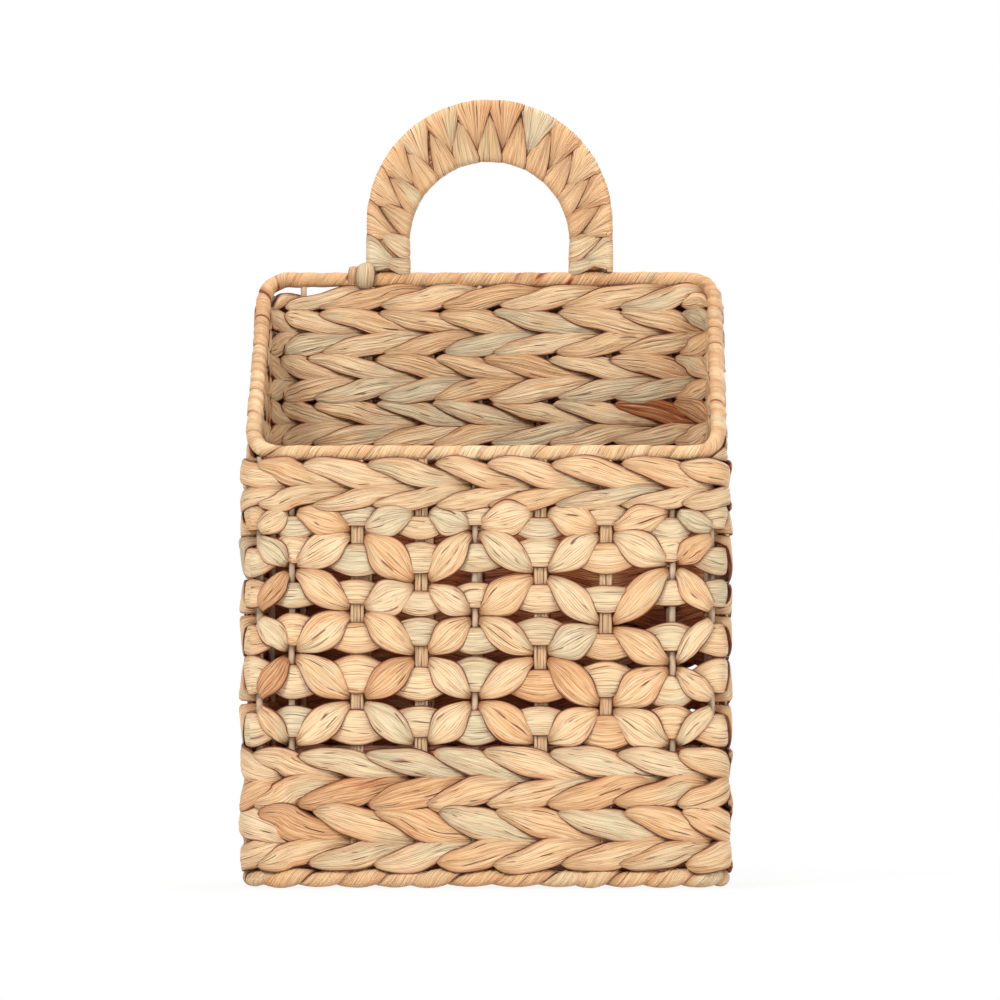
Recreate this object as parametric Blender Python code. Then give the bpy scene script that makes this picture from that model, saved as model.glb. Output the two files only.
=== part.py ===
"""A wall basket: leaf strands twined and laced round the stakes of a wire frame, with an arched handle.

The basket stands on its base ring with its back to the wall, so the front looks along -Y.
All sizes are in metres. The plan outline is one rounded rectangle, called the wall line here,
and every stake, row, ring and wrap follows it.
"""

import math

import bmesh
import bpy
from mathutils import Vector

# Frame: the wall line runs through the centres of the stakes and of the rim wire.
WALL_WIDTH = 0.236
WALL_DEPTH = 0.108
WALL_CORNER_RADIUS = 0.013
FRONT_RIM_HEIGHT = 0.220
BACK_RIM_HEIGHT = 0.316
CLEARANCE = 0.0003

# Wires and wraps
RIM_WIRE_RADIUS = 0.0017
RIM_WRAP_RADIUS = 0.0040
RIM_SEAM_GAP = 0.0005
BASE_WIRE_RADIUS = 0.0017
BASE_WRAP_RADIUS = 0.0050
BASE_OUTSET = 0.0010
WRAP_SEAM_SHARE = 0.625
ARC_STEPS = 4
WRAP_SIDES = 8
WIRE_SIDES = 6

# Stakes: steel at the corners and at three places along the front and back, leaf fibre between.
WIRE_STAKE_RADIUS = 0.0016
FIBRE_STAKE_RADIUS = 0.0016
FRONT_STAKE_SHARES = (-0.83, -0.55, -0.275, -0.045, 0.235, 0.515, 0.80)
SIDE_STAKE_SHARES = (-0.50, 0.0, 0.50)
STAKE_KINDS = ("wire", "fibre", "fibre", "wire", "fibre", "fibre", "wire")

# Twined rows: two legs of one doubled strand cross between every two stakes.
TWINE_HALF_THICKNESS = 0.0021
TWINE_NECK_SHARE = 0.80
CORNER_EASE = 0.0016
CORNER_SHARE = 0.5
LOWER_ROW_HEIGHTS = (0.0140, 0.0162, 0.0152, 0.0142)
UPPER_ROW_HEIGHTS = (0.0110, 0.0130)
BACK_ROWS = 8
BACK_ROW_END_REACH = 0.0205
BACK_ROW_LEAST_REACH_SHARE = 0.25
BACK_ROW_REACH_STEPS = 15
BACK_ROW_FOLD_SHARE = 0.25

# Openwork: a level strand and a zigzag strand for each of six bands, from the top down.
BAND_SHARES = (0.13, 0.17, 0.15, 0.17, 0.20, 0.18)
LEVEL_HALF_THICKNESS = 0.0012
ZIGZAG_HALF_THICKNESS = 0.0010
ZIGZAG_NECK = 0.0021
ZIGZAG_HALF_HEIGHT = 0.0046
ZIGZAG_BEHIND = 0.0030
ZIGZAG_RUN_SHARE = 0.14

# Handle: an outer and an inner arch, bound together by a strand in figures of eight.
HANDLE_WIRE_RADIUS = 0.0017
HANDLE_OUTER_RADIUS = 0.0610
HANDLE_INNER_RADIUS = 0.0456
HANDLE_OUTER_SPRING = 0.0300
HANDLE_INNER_SPRING = 0.0205
HANDLE_ARC_STEPS = 14
HANDLE_HALF_TURNS = 27
HANDLE_WRAP_START = 0.0037
HANDLE_WRAP_HALF_THICKNESS = 0.0008
HANDLE_WRAP_CORNER_SHARE = 1.43
HANDLE_WRAP_NECK = 0.0033
HANDLE_WRAP_OUTER_WIDTH = 0.0070
HANDLE_WRAP_INNER_WIDTH = 0.0050
KNOT_HALF_THICKNESS = 0.0009
KNOT_HALF_WIDTH = 0.0042
KNOT_GAP = 0.0006
KNOT_DROP = math.radians(30)
KNOT_STEPS = 8

# Base: a strand laced front to back, and one laced across it from side to side.
BASE_WARP_HALF_WIDTH = 0.0030
BASE_WARP_HALF_THICKNESS = 0.0009
BASE_WEFT_GAP = 0.0010
BASE_WEFT_HALF_THICKNESS = 0.0010
BASE_WEFT_ROWS = 5
BASE_TURN_REACH = 0.0040
BASE_TURN_WIDTH_SHARE = 0.5

# Finishes: colour, roughness and metallic value.
STRAW = ((0.62, 0.42, 0.22), 0.75, 0.0)
HONEY = ((0.52, 0.30, 0.13), 0.80, 0.0)
PALE_STRAW = ((0.70, 0.52, 0.31), 0.75, 0.0)
PAINTED_WIRE = ((0.45, 0.40, 0.33), 0.45, 0.6)

COLLECTION = "wall_basket"
UP = Vector((0.0, 0.0, 1.0))


def clear_scene():
    for thing in list(bpy.data.objects):
        bpy.data.objects.remove(thing)


def parts_collection():
    made = bpy.data.collections.new(COLLECTION)
    bpy.context.scene.collection.children.link(made)
    return made


def finish(thing, look):
    """Gives the part its own material."""
    colour, roughness, metallic = look
    material = bpy.data.materials.new(thing.name)
    material.use_nodes = True
    shader = material.node_tree.nodes["Principled BSDF"]
    shader.inputs["Base Color"].default_value = (*colour, 1.0)
    shader.inputs["Roughness"].default_value = roughness
    shader.inputs["Metallic"].default_value = metallic
    thing.data.materials.append(material)


def place(name, data):
    thing = bpy.data.objects.new(name, data)
    bpy.data.collections[COLLECTION].objects.link(thing)
    return thing


def wall_straights():
    """Lengths of the wall line's straight runs: across the width, and along the depth."""
    return WALL_WIDTH - 2 * WALL_CORNER_RADIUS, WALL_DEPTH - 2 * WALL_CORNER_RADIUS


def wall_pieces():
    """The straights and arcs of the wall line, anticlockwise from the middle of the front left corner."""
    across = WALL_WIDTH / 2 - WALL_CORNER_RADIUS
    along = WALL_DEPTH / 2 - WALL_CORNER_RADIUS
    quarter = math.pi / 2
    corners = ((-across, -along), (across, -along), (across, along), (-across, along))
    pieces = [("arc", corners[0], -3 * quarter / 2, -quarter)]
    for index in range(4):
        turned = quarter * (index - 1)
        start = corners[index]
        end = corners[(index + 1) % 4]
        pieces.append(("straight", start, end, turned))
        last = index == 3
        pieces.append(("arc", end, turned, turned + (quarter / 2 if last else quarter)))
    return pieces


def wall_length():
    across, along = wall_straights()
    return 2 * (across + along) + 2 * math.pi * WALL_CORNER_RADIUS


def wall_at(distance, outset=0.0):
    """The point of the wall line this far on, moved outwards by outset, and the outward direction there."""
    left = distance % wall_length()
    radius = WALL_CORNER_RADIUS
    for kind, start, second, third in wall_pieces():
        if kind == "straight":
            begin = Vector((*start, 0.0))
            step = Vector((*second, 0.0)) - begin
            if left <= step.length:
                outward = Vector((math.cos(third), math.sin(third), 0.0))
                point = begin + step.normalized() * left
                return point + outward * (radius + outset), outward
            left -= step.length
            continue
        sweep = (third - second) * radius
        if left <= sweep:
            angle = second + left / radius
            outward = Vector((math.cos(angle), math.sin(angle), 0.0))
            return Vector((*start, 0.0)) + outward * (radius + outset), outward
        left -= sweep
    return wall_at(0.0, outset)


def turns_corner(outward):
    return min(abs(outward.x), abs(outward.y)) > CORNER_SHARE


def stake_list():
    """Each stake's name, kind and distance along the wall line, from the front left corner."""
    half_arc = WALL_CORNER_RADIUS * math.pi / 4
    across, along = wall_straights()
    stakes = []
    start = 0.0
    sides = (
        ("front", across, FRONT_STAKE_SHARES, STAKE_KINDS),
        ("right", along, SIDE_STAKE_SHARES, ("fibre",) * len(SIDE_STAKE_SHARES)),
        ("back", across, tuple(-s for s in reversed(FRONT_STAKE_SHARES)), STAKE_KINDS[::-1]),
        ("left", along, SIDE_STAKE_SHARES, ("fibre",) * len(SIDE_STAKE_SHARES)),
    )
    corner_names = ("front_left", "front_right", "back_right", "back_left")
    for corner, (side, length, shares, kinds) in zip(corner_names, sides):
        whole = WALL_WIDTH if side in ("front", "back") else WALL_DEPTH
        stakes.append((f"{corner}_corner_wire", "wire", start))
        for number, (share, kind) in enumerate(zip(shares, kinds), 1):
            distance = start + half_arc + length / 2 + share * whole / 2
            stakes.append((f"{side}_{kind}_stake_{number}", kind, distance))
        start += length + 2 * half_arc
    return stakes


def rim_height(y):
    """The rim lies in one plane that falls from the back to the front."""
    share = (y + WALL_DEPTH / 2) / WALL_DEPTH
    return FRONT_RIM_HEIGHT + (BACK_RIM_HEIGHT - FRONT_RIM_HEIGHT) * share


def rim_slope():
    return math.atan2(BACK_RIM_HEIGHT - FRONT_RIM_HEIGHT, WALL_DEPTH)


def wall_route(outset, start, end):
    """Points of the wall line between two distances: the corners' arcs in steps, and the straights' ends."""
    half_arc = WALL_CORNER_RADIUS * math.pi / 4
    across, along = wall_straights()
    marks = [start, end]
    corner = -wall_length()
    while corner < end:
        for length in (across, along, across, along):
            for step in range(ARC_STEPS):
                marks.append(corner - half_arc + 2 * half_arc * step / (ARC_STEPS - 1))
            corner += length + 2 * half_arc
    kept = sorted(mark for mark in marks if start <= mark <= end)
    return [wall_at(mark, outset)[0] for mark in kept]


def bisector(before, here, after):
    """The direction of travel at a point, halfway between the runs on its two sides."""
    return ((here - before).normalized() + (after - here).normalized()).normalized()


def bar(name, points, radius, look, closed=False):
    """A round bar through the points, with flat ends where it doesn't close on itself."""
    data = bpy.data.curves.new(name, "CURVE")
    data.dimensions = "3D"
    data.bevel_depth = radius
    data.bevel_resolution = (WIRE_SIDES - 4) // 2
    data.use_fill_caps = not closed
    spline = data.splines.new("POLY")
    spline.points.add(len(points) - 1)
    for knot, point in zip(spline.points, points):
        knot.co = (*point, 1.0)
    spline.use_cyclic_u = closed
    finish(place(name, data), look)


def sleeve(name, points, radius, bore_radius, across_flats=False):
    """A wrap drawn as a tube round its wire: one open run whose ends nearly meet."""
    shell = bmesh.new()
    turn = math.pi / WRAP_SIDES if across_flats else 0.0
    outer_reach = radius / math.cos(math.pi / WRAP_SIDES) if across_flats else radius
    bore_reach = bore_radius / math.cos(math.pi / WRAP_SIDES)
    rings = []
    for index, point in enumerate(points):
        before = points[index - 1] if index else 2 * point - points[1]
        after = points[index + 1] if index < len(points) - 1 else 2 * point - before
        travel = bisector(before, point, after)
        side = travel.cross(UP).normalized()
        lift = side.cross(travel)
        ring = []
        for reach in (outer_reach, bore_reach):
            for corner in range(WRAP_SIDES):
                angle = turn + 2 * math.pi * corner / WRAP_SIDES
                offset = side * math.cos(angle) + lift * math.sin(angle)
                ring.append(shell.verts.new(point + offset * reach))
        rings.append(ring)
    skins = (range(WRAP_SIDES), range(WRAP_SIDES, 2 * WRAP_SIDES))
    for first, second in zip(rings, rings[1:]):
        for skin in skins:
            for corner, following in zip(skin, [*skin[1:], skin[0]]):
                shell.faces.new((first[corner], first[following], second[following], second[corner]))
    for ring in (rings[0], rings[-1]):
        for corner in range(WRAP_SIDES):
            following = (corner + 1) % WRAP_SIDES
            rim = (corner, following, WRAP_SIDES + following, WRAP_SIDES + corner)
            shell.faces.new([ring[place] for place in rim])
    bmesh.ops.recalc_face_normals(shell, faces=shell.faces)
    mesh = bpy.data.meshes.new(name)
    shell.to_mesh(mesh)
    shell.free()
    finish(place(name, mesh), PALE_STRAW)


def strand(name, centres, wide_axes, half_widths, half_thickness, look, closed=False, flat_back=False):
    """A flattened leaf strand lofted through lozenge sections, each as wide as its place allows.
    With flat_back the section is a triangle, flat on the side that faces into the basket."""
    mesh = bpy.data.meshes.new(name)
    body = bmesh.new()
    count = len(centres)
    rings = []
    for index, centre in enumerate(centres):
        before = centres[index - 1] if closed or index else centre
        after = centres[(index + 1) % count] if closed or index < count - 1 else centre
        wide = wide_axes[index]
        travel = bisector(before, centre, after)
        flat = travel - wide * travel.dot(wide)
        thin = flat.cross(wide).normalized()
        reach = wide * half_widths[index]
        depth = thin * half_thickness
        lozenge = (depth, reach, -depth, -reach)
        triangle = (depth, reach - depth, -reach - depth)
        steps = triangle if flat_back else lozenge
        rings.append([body.verts.new(centre + step) for step in steps])
    pairs = list(zip(rings, rings[1:]))
    if closed:
        pairs.append((rings[-1], rings[0]))
    sides = len(rings[0])
    for first, second in pairs:
        for corner in range(sides):
            following = (corner + 1) % sides
            body.faces.new((first[corner], first[following], second[following], second[corner]))
    if not closed:
        body.faces.new(rings[0])
        body.faces.new(rings[-1])
    bmesh.ops.recalc_face_normals(body, faces=body.faces)
    body.to_mesh(mesh)
    body.free()
    finish(place(name, mesh), look)


def twine_reach(stakes, index):
    """How far a strand stands off the stake line as it passes a stake: further where it leaves steeply."""
    least = WIRE_STAKE_RADIUS + CLEARANCE + TWINE_HALF_THICKNESS
    neighbours = [other for other in (index - 1, index + 1) if 0 <= other < len(stakes)]
    gap = min(abs(stakes[index] - stakes[other]) for other in neighbours)
    return least * math.hypot(1.0, least / (gap / 2))


def twined_row(name, stakes, middle, height, falls, ends=None):
    """One row of twining. A doubled strand passes outside and inside the stakes by turns, and its two
    legs cross between them, so that each outer pass falls or rises to the right.
    Without ends the row runs right round and its legs join end to end into one strand; with ends it
    is a hank that folds round the last stake of each end."""
    full = height / 2 - CLEARANCE / 2
    neck = TWINE_NECK_SHARE * (full - CLEARANCE) / 2 + (1 - TWINE_NECK_SHARE) * CLEARANCE
    lift = (full - neck) * (-1 if falls else 1)
    reaches = [twine_reach(stakes, index) for index in range(len(stakes))]
    places = []
    widths = []

    def add(distance, outset, rise, half_width):
        point, outward = wall_at(distance)
        if outset > 0.0 and turns_corner(outward):
            outset += CORNER_EASE
        places.append(point + outward * outset + UP * (middle + rise))
        widths.append(half_width)

    count = len(stakes)
    for leg in (0, 1):
        order = range(count) if ends is None or leg == 0 else range(count - 1, -1, -1)
        for index in order:
            outside = 1 if (index + leg) % 2 == 0 else -1
            add(stakes[index], reaches[index] * outside, 0.0, full)
            last = index == order[-1]
            forward = order[-1] >= order[0]
            if ends is not None and last:
                add(ends[1] if forward else ends[0], 0.0, 0.0, neck)
                continue
            following = index + 1 if forward else index - 1
            if last:
                gap = wall_length() - stakes[-1] + stakes[0]
                add(stakes[-1] + gap / 2, reaches[index] * outside, 0.0, neck)
                continue
            rise = lift * outside * (1 if forward else -1)
            add((stakes[index] + stakes[following]) / 2, 0.0, rise, neck)
    axes = [UP] * len(places)
    strand(name, places, axes, widths, TWINE_HALF_THICKNESS, STRAW, closed=True)


def level_strand(name, stakes, middle, half_height):
    """A flat strand that runs level outside every stake."""
    outset = WIRE_STAKE_RADIUS + CLEARANCE + LEVEL_HALF_THICKNESS
    centres = []
    for stake in stakes:
        point, outward = wall_at(stake)
        ease = CORNER_EASE if turns_corner(outward) else 0.0
        centres.append(point + outward * (outset + ease) + UP * middle)
    axes = [UP] * len(centres)
    wide = [half_height] * len(centres)
    strand(name, centres, axes, wide, LEVEL_HALF_THICKNESS, STRAW, closed=True, flat_back=True)


def zigzag_strand(name, stakes, heights):
    """A strand that passes behind each stake and, between stakes, slants over the level strand."""
    inside = -(WIRE_STAKE_RADIUS + 2 * CLEARANCE + ZIGZAG_HALF_THICKNESS)
    outside = WIRE_STAKE_RADIUS + 2 * CLEARANCE + 2 * LEVEL_HALF_THICKNESS + ZIGZAG_HALF_THICKNESS
    centres = []
    wide = []
    count = len(stakes)
    for index, stake in enumerate(stakes):
        before = (stake - stakes[index - 1]) % wall_length()
        after = (stakes[(index + 1) % count] - stake) % wall_length()
        steps = (
            (-ZIGZAG_BEHIND - ZIGZAG_RUN_SHARE * before, outside),
            (-ZIGZAG_BEHIND, inside),
            (ZIGZAG_BEHIND, inside),
            (ZIGZAG_BEHIND + ZIGZAG_RUN_SHARE * after, outside),
        )
        for step, outset in steps:
            centres.append(wall_at(stake + step, outset)[0] + UP * heights[index])
            wide.append(ZIGZAG_NECK)
        halfway = (heights[index] + heights[(index + 1) % count]) / 2
        centres.append(wall_at(stake + after / 2, outside)[0] + UP * halfway)
        wide.append(ZIGZAG_HALF_HEIGHT)
    axes = [UP] * len(centres)
    strand(name, centres, axes, wide, ZIGZAG_HALF_THICKNESS, HONEY, closed=True, flat_back=True)


def make_rings():
    """The rim and base wires, each in its wrap."""
    length = wall_length()
    seam = length * WRAP_SEAM_SHARE
    open_route = wall_route(0.0, seam + RIM_SEAM_GAP / 2, seam + length - RIM_SEAM_GAP / 2)
    closed_route = wall_route(0.0, seam, seam + length)[:-1]
    rim_points = [point + UP * rim_height(point.y) for point in closed_route]
    bar("rim_wire", rim_points, RIM_WIRE_RADIUS, PAINTED_WIRE, closed=True)
    rim_run = [point + UP * rim_height(point.y) for point in open_route]
    sleeve("rim_wrap", rim_run, RIM_WRAP_RADIUS, RIM_WIRE_RADIUS + CLEARANCE)
    lift = UP * BASE_WRAP_RADIUS
    base_points = [point + lift for point in wall_route(BASE_OUTSET, seam, seam + length)[:-1]]
    bar("base_ring_wire", base_points, BASE_WIRE_RADIUS, PAINTED_WIRE, closed=True)
    base_route = wall_route(BASE_OUTSET, seam + RIM_SEAM_GAP / 2, seam + length - RIM_SEAM_GAP / 2)
    base_run = [point + lift for point in base_route]
    bore = BASE_WIRE_RADIUS + CLEARANCE
    sleeve("base_ring_wrap", base_run, BASE_WRAP_RADIUS, bore, across_flats=True)


def make_stakes():
    """Uprights from the base wrap to the rim wrap."""
    bottom = 2 * BASE_WRAP_RADIUS + CLEARANCE
    kinds = {"wire": (WIRE_STAKE_RADIUS, PAINTED_WIRE), "fibre": (FIBRE_STAKE_RADIUS, HONEY)}
    for name, kind, distance in stake_list():
        radius, look = kinds[kind]
        foot = wall_at(distance)[0]
        level = abs(foot.y) >= WALL_DEPTH / 2 - CLEARANCE
        slope = 0.0 if level else rim_slope()
        drop = (RIM_WRAP_RADIUS + CLEARANCE) / math.cos(slope) + radius * math.tan(slope)
        top = rim_height(foot.y) - drop
        bar(name, (foot + UP * bottom, foot + UP * top), radius, look)


def lower_rows():
    """Middle height and height of the rows round the lower wall, from the base up, and their top."""
    top = 2 * BASE_WRAP_RADIUS + CLEARANCE
    rows = []
    for height in LOWER_ROW_HEIGHTS:
        rows.append((top + height / 2, height))
        top += height
    return rows, top


def upper_rows():
    """Middle height and height of the rows under the front rim, from the lowest up, and their bottom."""
    bottom = FRONT_RIM_HEIGHT - RIM_WRAP_RADIUS - CLEARANCE - sum(UPPER_ROW_HEIGHTS)
    rows = []
    level = bottom
    for height in UPPER_ROW_HEIGHTS:
        rows.append((level + height / 2, height))
        level += height
    return rows, bottom


def make_full_rows():
    """Four rows round the lower wall and two under the front rim, their slants turned about by turns."""
    distances = [distance for _, _, distance in stake_list()]
    for kind, (rows, _) in (("lower", lower_rows()), ("upper", upper_rows())):
        for number, (middle, height) in enumerate(rows, 1):
            twined_row(f"{kind}_row_{number}", distances, middle, height, falls=number % 2 == 0)


def reach_on_side(level):
    """How far forward, as y, the wall may hold something this high under the rim's wrap."""
    need = level + (RIM_WRAP_RADIUS + CLEARANCE) / math.cos(rim_slope())
    share = (need - FRONT_RIM_HEIGHT) / (BACK_RIM_HEIGHT - FRONT_RIM_HEIGHT)
    return -WALL_DEPTH / 2 + WALL_DEPTH * share


def make_back_rows():
    """Rows of the high back, which end on the sides under the falling rim."""
    floor = FRONT_RIM_HEIGHT - RIM_WRAP_RADIUS - CLEARANCE
    ceiling = BACK_RIM_HEIGHT - RIM_WRAP_RADIUS - CLEARANCE
    height = (ceiling - floor) / BACK_ROWS
    stakes = [distance for _, _, distance in stake_list()]
    for number in range(1, BACK_ROWS + 1):
        middle = floor + height * number - height / 2
        stake_limit = reach_on_side(middle + height / 2) + WIRE_STAKE_RADIUS
        fold_limit = reach_on_side(middle + height * BACK_ROW_FOLD_SHARE)
        least = min(WALL_DEPTH / 2 - CLEARANCE, stake_limit)
        chosen = [distance for distance in stakes if wall_at(distance)[0].y > least]
        ends = (fold_place(chosen[0], fold_limit, -1), fold_place(chosen[-1], fold_limit, 1))
        twined_row(f"back_row_{number}", chosen, middle, height, number % 2 == 1, ends)


def fold_place(stake, limit, direction):
    """Where a row folds back beyond its last stake: short of the next stake, and clear of the rim."""
    least = BACK_ROW_END_REACH * BACK_ROW_LEAST_REACH_SHARE
    spare = BACK_ROW_END_REACH - least
    for step in range(BACK_ROW_REACH_STEPS, 0, -1):
        place = stake + direction * (least + spare * step / BACK_ROW_REACH_STEPS)
        if wall_at(place)[0].y > limit:
            return place
    return stake + direction * least


def make_openwork():
    """Six bands of lattice between the lower and the upper rows."""
    distances = [distance for _, _, distance in stake_list()]
    floor = lower_rows()[1]
    ceiling = upper_rows()[1]
    whole = ceiling - floor
    levels = [ceiling]
    for share in BAND_SHARES:
        levels.append(levels[-1] - whole * share)
    tip = ZIGZAG_NECK + CLEARANCE
    for number in range(1, len(BAND_SHARES) + 1):
        high = levels[number - 1]
        low = levels[number]
        half = (high - low) / 2 - 2 * tip - CLEARANCE / 2
        level_strand(f"level_strand_{number}", distances, (high + low) / 2, half)
        heights = []
        for index in range(len(distances)):
            at_top = (index + number) % 2 == 0
            heights.append(high - tip if at_top else low + tip)
        zigzag_strand(f"zigzag_strand_{number}", distances, heights)


def arch_leg(spring):
    """Length of the straight leg below the arc, down to the rim's wrap."""
    return spring - RIM_WRAP_RADIUS - CLEARANCE


def arch_length(radius, spring):
    return 2 * arch_leg(spring) + math.pi * radius


def arch_at(share, radius, spring):
    """A point of an arch of the handle, from the left foot to the right one, and the way outwards."""
    foot = BACK_RIM_HEIGHT + RIM_WRAP_RADIUS + CLEARANCE
    leg = arch_leg(spring)
    length = arch_length(radius, spring)
    run = share * length
    y = WALL_DEPTH / 2
    if run <= leg:
        return Vector((-radius, y, foot + run)), Vector((-1.0, 0.0, 0.0))
    if run >= length - leg:
        return Vector((radius, y, foot + length - run)), Vector((1.0, 0.0, 0.0))
    angle = math.pi - (run - leg) / radius
    outward = Vector((math.cos(angle), 0.0, math.sin(angle)))
    return Vector((0.0, y, foot + leg)) + outward * radius, outward


def arch_points(radius, spring):
    leg = arch_leg(spring)
    length = arch_length(radius, spring)
    shares = [0.0]
    for step in range(HANDLE_ARC_STEPS + 1):
        shares.append((leg + math.pi * radius * step / HANDLE_ARC_STEPS) / length)
    shares.append(1.0)
    return [arch_at(share, radius, spring)[0] for share in shares]


def handle_wrap_reach():
    """How far the handle's wrap stands off a wire's centre at its corners."""
    hug = HANDLE_WIRE_RADIUS + CLEARANCE + HANDLE_WRAP_HALF_THICKNESS
    return hug * HANDLE_WRAP_CORNER_SHARE


def make_handle():
    """Two arched wires, and one strand that binds them in figures of eight."""
    outer = (HANDLE_OUTER_RADIUS, HANDLE_OUTER_SPRING)
    inner = (HANDLE_INNER_RADIUS, HANDLE_INNER_SPRING)
    bar("handle_outer_wire", arch_points(*outer), HANDLE_WIRE_RADIUS, PAINTED_WIRE)
    bar("handle_inner_wire", arch_points(*inner), HANDLE_WIRE_RADIUS, PAINTED_WIRE)
    corner = handle_wrap_reach()
    front = Vector((0.0, -1.0, 0.0))
    centres = []
    axes = []
    widths = []

    def add(point, outward, half_width):
        centres.append(point)
        axes.append(outward.cross(front).normalized())
        widths.append(half_width)

    margin = HANDLE_WRAP_START / arch_length(*outer)
    for turn in range(HANDLE_HALF_TURNS):
        start = margin + (1 - 2 * margin) * turn / HANDLE_HALF_TURNS
        share = start + (1 - 2 * margin) / HANDLE_HALF_TURNS / 2
        here = outer if turn % 2 == 0 else inner
        sign = 1 if turn % 2 == 0 else -1
        width = HANDLE_WRAP_OUTER_WIDTH if turn % 2 == 0 else HANDLE_WRAP_INNER_WIDTH
        if turn:
            first, outward = arch_at(start, *outer)
            second, _ = arch_at(start, *inner)
            add((first + second) / 2, outward, HANDLE_WRAP_NECK)
        point, outward = arch_at(share, *here)
        add(point + front * corner, outward, width)
        add(point + outward * sign * corner, outward, width)
        add(point - front * corner, outward, width)
    strand("handle_wrap", centres, axes, widths, HANDLE_WRAP_HALF_THICKNESS, STRAW)


def make_knot():
    """The tie at the handle's left foot: a lobe folded over the rim from front to back."""
    beside = handle_wrap_reach() + HANDLE_WRAP_HALF_THICKNESS + KNOT_GAP + KNOT_HALF_WIDTH
    middle = Vector((-HANDLE_OUTER_RADIUS - beside, WALL_DEPTH / 2, BACK_RIM_HEIGHT))
    radius = RIM_WRAP_RADIUS + CLEARANCE + KNOT_HALF_THICKNESS
    radius /= math.cos((math.pi + 2 * KNOT_DROP) / KNOT_STEPS / 2)
    centres = []
    widths = []
    for step in range(KNOT_STEPS + 1):
        share = step / KNOT_STEPS
        angle = -KNOT_DROP + (math.pi + 2 * KNOT_DROP) * share
        centres.append(middle + Vector((0.0, -math.cos(angle), math.sin(angle))) * radius)
        widths.append(KNOT_HALF_WIDTH * (1 + math.sin(math.pi * share)) / 2)
    axes = [Vector((1.0, 0.0, 0.0))] * len(centres)
    strand("left_handle_knot", centres, axes, widths, KNOT_HALF_THICKNESS, HONEY)


def level_axes(points):
    """The level direction across the run at each point."""
    last = len(points) - 1
    runs = [points[min(index + 1, last)] - points[max(index - 1, 0)] for index in range(last + 1)]
    return [UP.cross(run).normalized() for run in runs]


def make_base():
    """The bottom, laced between the sides of the base ring."""
    inner = WALL_DEPTH / 2 + BASE_OUTSET - BASE_WRAP_RADIUS - CLEARANCE
    side = WALL_WIDTH / 2 + BASE_OUTSET - BASE_WRAP_RADIUS - CLEARANCE
    level = UP * BASE_WRAP_RADIUS
    half = WALL_WIDTH / 2
    columns = [share * half for share in FRONT_STAKE_SHARES]
    end = inner - BASE_WARP_HALF_WIDTH
    warp = []
    for number, x in enumerate(columns):
        sign = 1 if number % 2 == 0 else -1
        warp.append(Vector((x, -end * sign, 0.0)) + level)
        warp.append(Vector((x, end * sign, 0.0)) + level)
    wide = [BASE_WARP_HALF_WIDTH] * len(warp)
    strand("base_warp", warp, level_axes(warp), wide, BASE_WARP_HALF_THICKNESS, HONEY)

    lift = BASE_WARP_HALF_THICKNESS + CLEARANCE + BASE_WEFT_HALF_THICKNESS
    field = end - BASE_WARP_HALF_WIDTH - CLEARANCE
    pitch = 2 * field / BASE_WEFT_ROWS
    half_width = (pitch - BASE_WEFT_GAP) / 2
    turn_half_width = half_width * BASE_TURN_WIDTH_SHARE
    turn = side - BASE_TURN_REACH
    weft = []
    widths = []
    for row in range(BASE_WEFT_ROWS):
        y = -field + pitch * row + pitch / 2
        order = columns if row % 2 == 0 else columns[::-1]
        sign = 1 if row % 2 == 0 else -1
        weft.append(Vector((-turn * sign, y, 0.0)) + level)
        widths.append(turn_half_width)
        for x in order:
            over = 1 if (columns.index(x) + row) % 2 == 0 else -1
            weft.append(Vector((x, y, over * lift)) + level)
            widths.append(half_width)
        weft.append(Vector((turn * sign, y, 0.0)) + level)
        widths.append(turn_half_width)
    strand("base_weft", weft, level_axes(weft), widths, BASE_WEFT_HALF_THICKNESS, STRAW)


def main():
    clear_scene()
    parts_collection()
    make_rings()
    make_stakes()
    make_full_rows()
    make_back_rows()
    make_openwork()
    make_handle()
    make_knot()
    make_base()


main()
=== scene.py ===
"""The looks of a wall basket: twisted, laced and wrapped leaf strands on a painted wire frame.

Every strand is a flat sheet of leaf rolled round its path: twined rows, level and zigzag strands of the
openwork, the wraps of rim, base ring and handle. Lengths are in metres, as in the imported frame.
"""

import math

import bmesh
import bpy
import numpy as np
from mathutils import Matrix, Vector


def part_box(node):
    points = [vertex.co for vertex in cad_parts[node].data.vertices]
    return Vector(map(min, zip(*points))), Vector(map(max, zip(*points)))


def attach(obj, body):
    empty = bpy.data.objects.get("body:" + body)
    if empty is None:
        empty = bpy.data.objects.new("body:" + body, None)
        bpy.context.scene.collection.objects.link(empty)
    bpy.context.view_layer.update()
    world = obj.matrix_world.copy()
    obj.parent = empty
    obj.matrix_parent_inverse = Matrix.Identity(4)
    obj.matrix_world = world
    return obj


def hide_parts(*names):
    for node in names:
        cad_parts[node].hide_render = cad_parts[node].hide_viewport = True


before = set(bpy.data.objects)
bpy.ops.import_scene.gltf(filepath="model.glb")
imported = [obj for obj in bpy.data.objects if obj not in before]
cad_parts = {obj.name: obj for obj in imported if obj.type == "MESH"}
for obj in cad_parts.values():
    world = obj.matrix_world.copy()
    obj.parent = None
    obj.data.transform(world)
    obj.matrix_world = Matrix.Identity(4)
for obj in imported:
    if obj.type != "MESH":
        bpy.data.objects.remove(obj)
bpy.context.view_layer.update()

ACROSS = np.array((1.0, 0.0, 0.0))
BACKWARD = np.array((0.0, 1.0, 0.0))
UP = np.array((0.0, 0.0, 1.0))

# Camera: where it stands, what it looks at on the plane of the front wall, and its lens in millimetres
CAMERA_PLACE = (0.054, -2.804, 0.095)
CAMERA_TARGET = (0.0073, -0.054, 0.196)
CAMERA_LENS = 196.0

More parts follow.
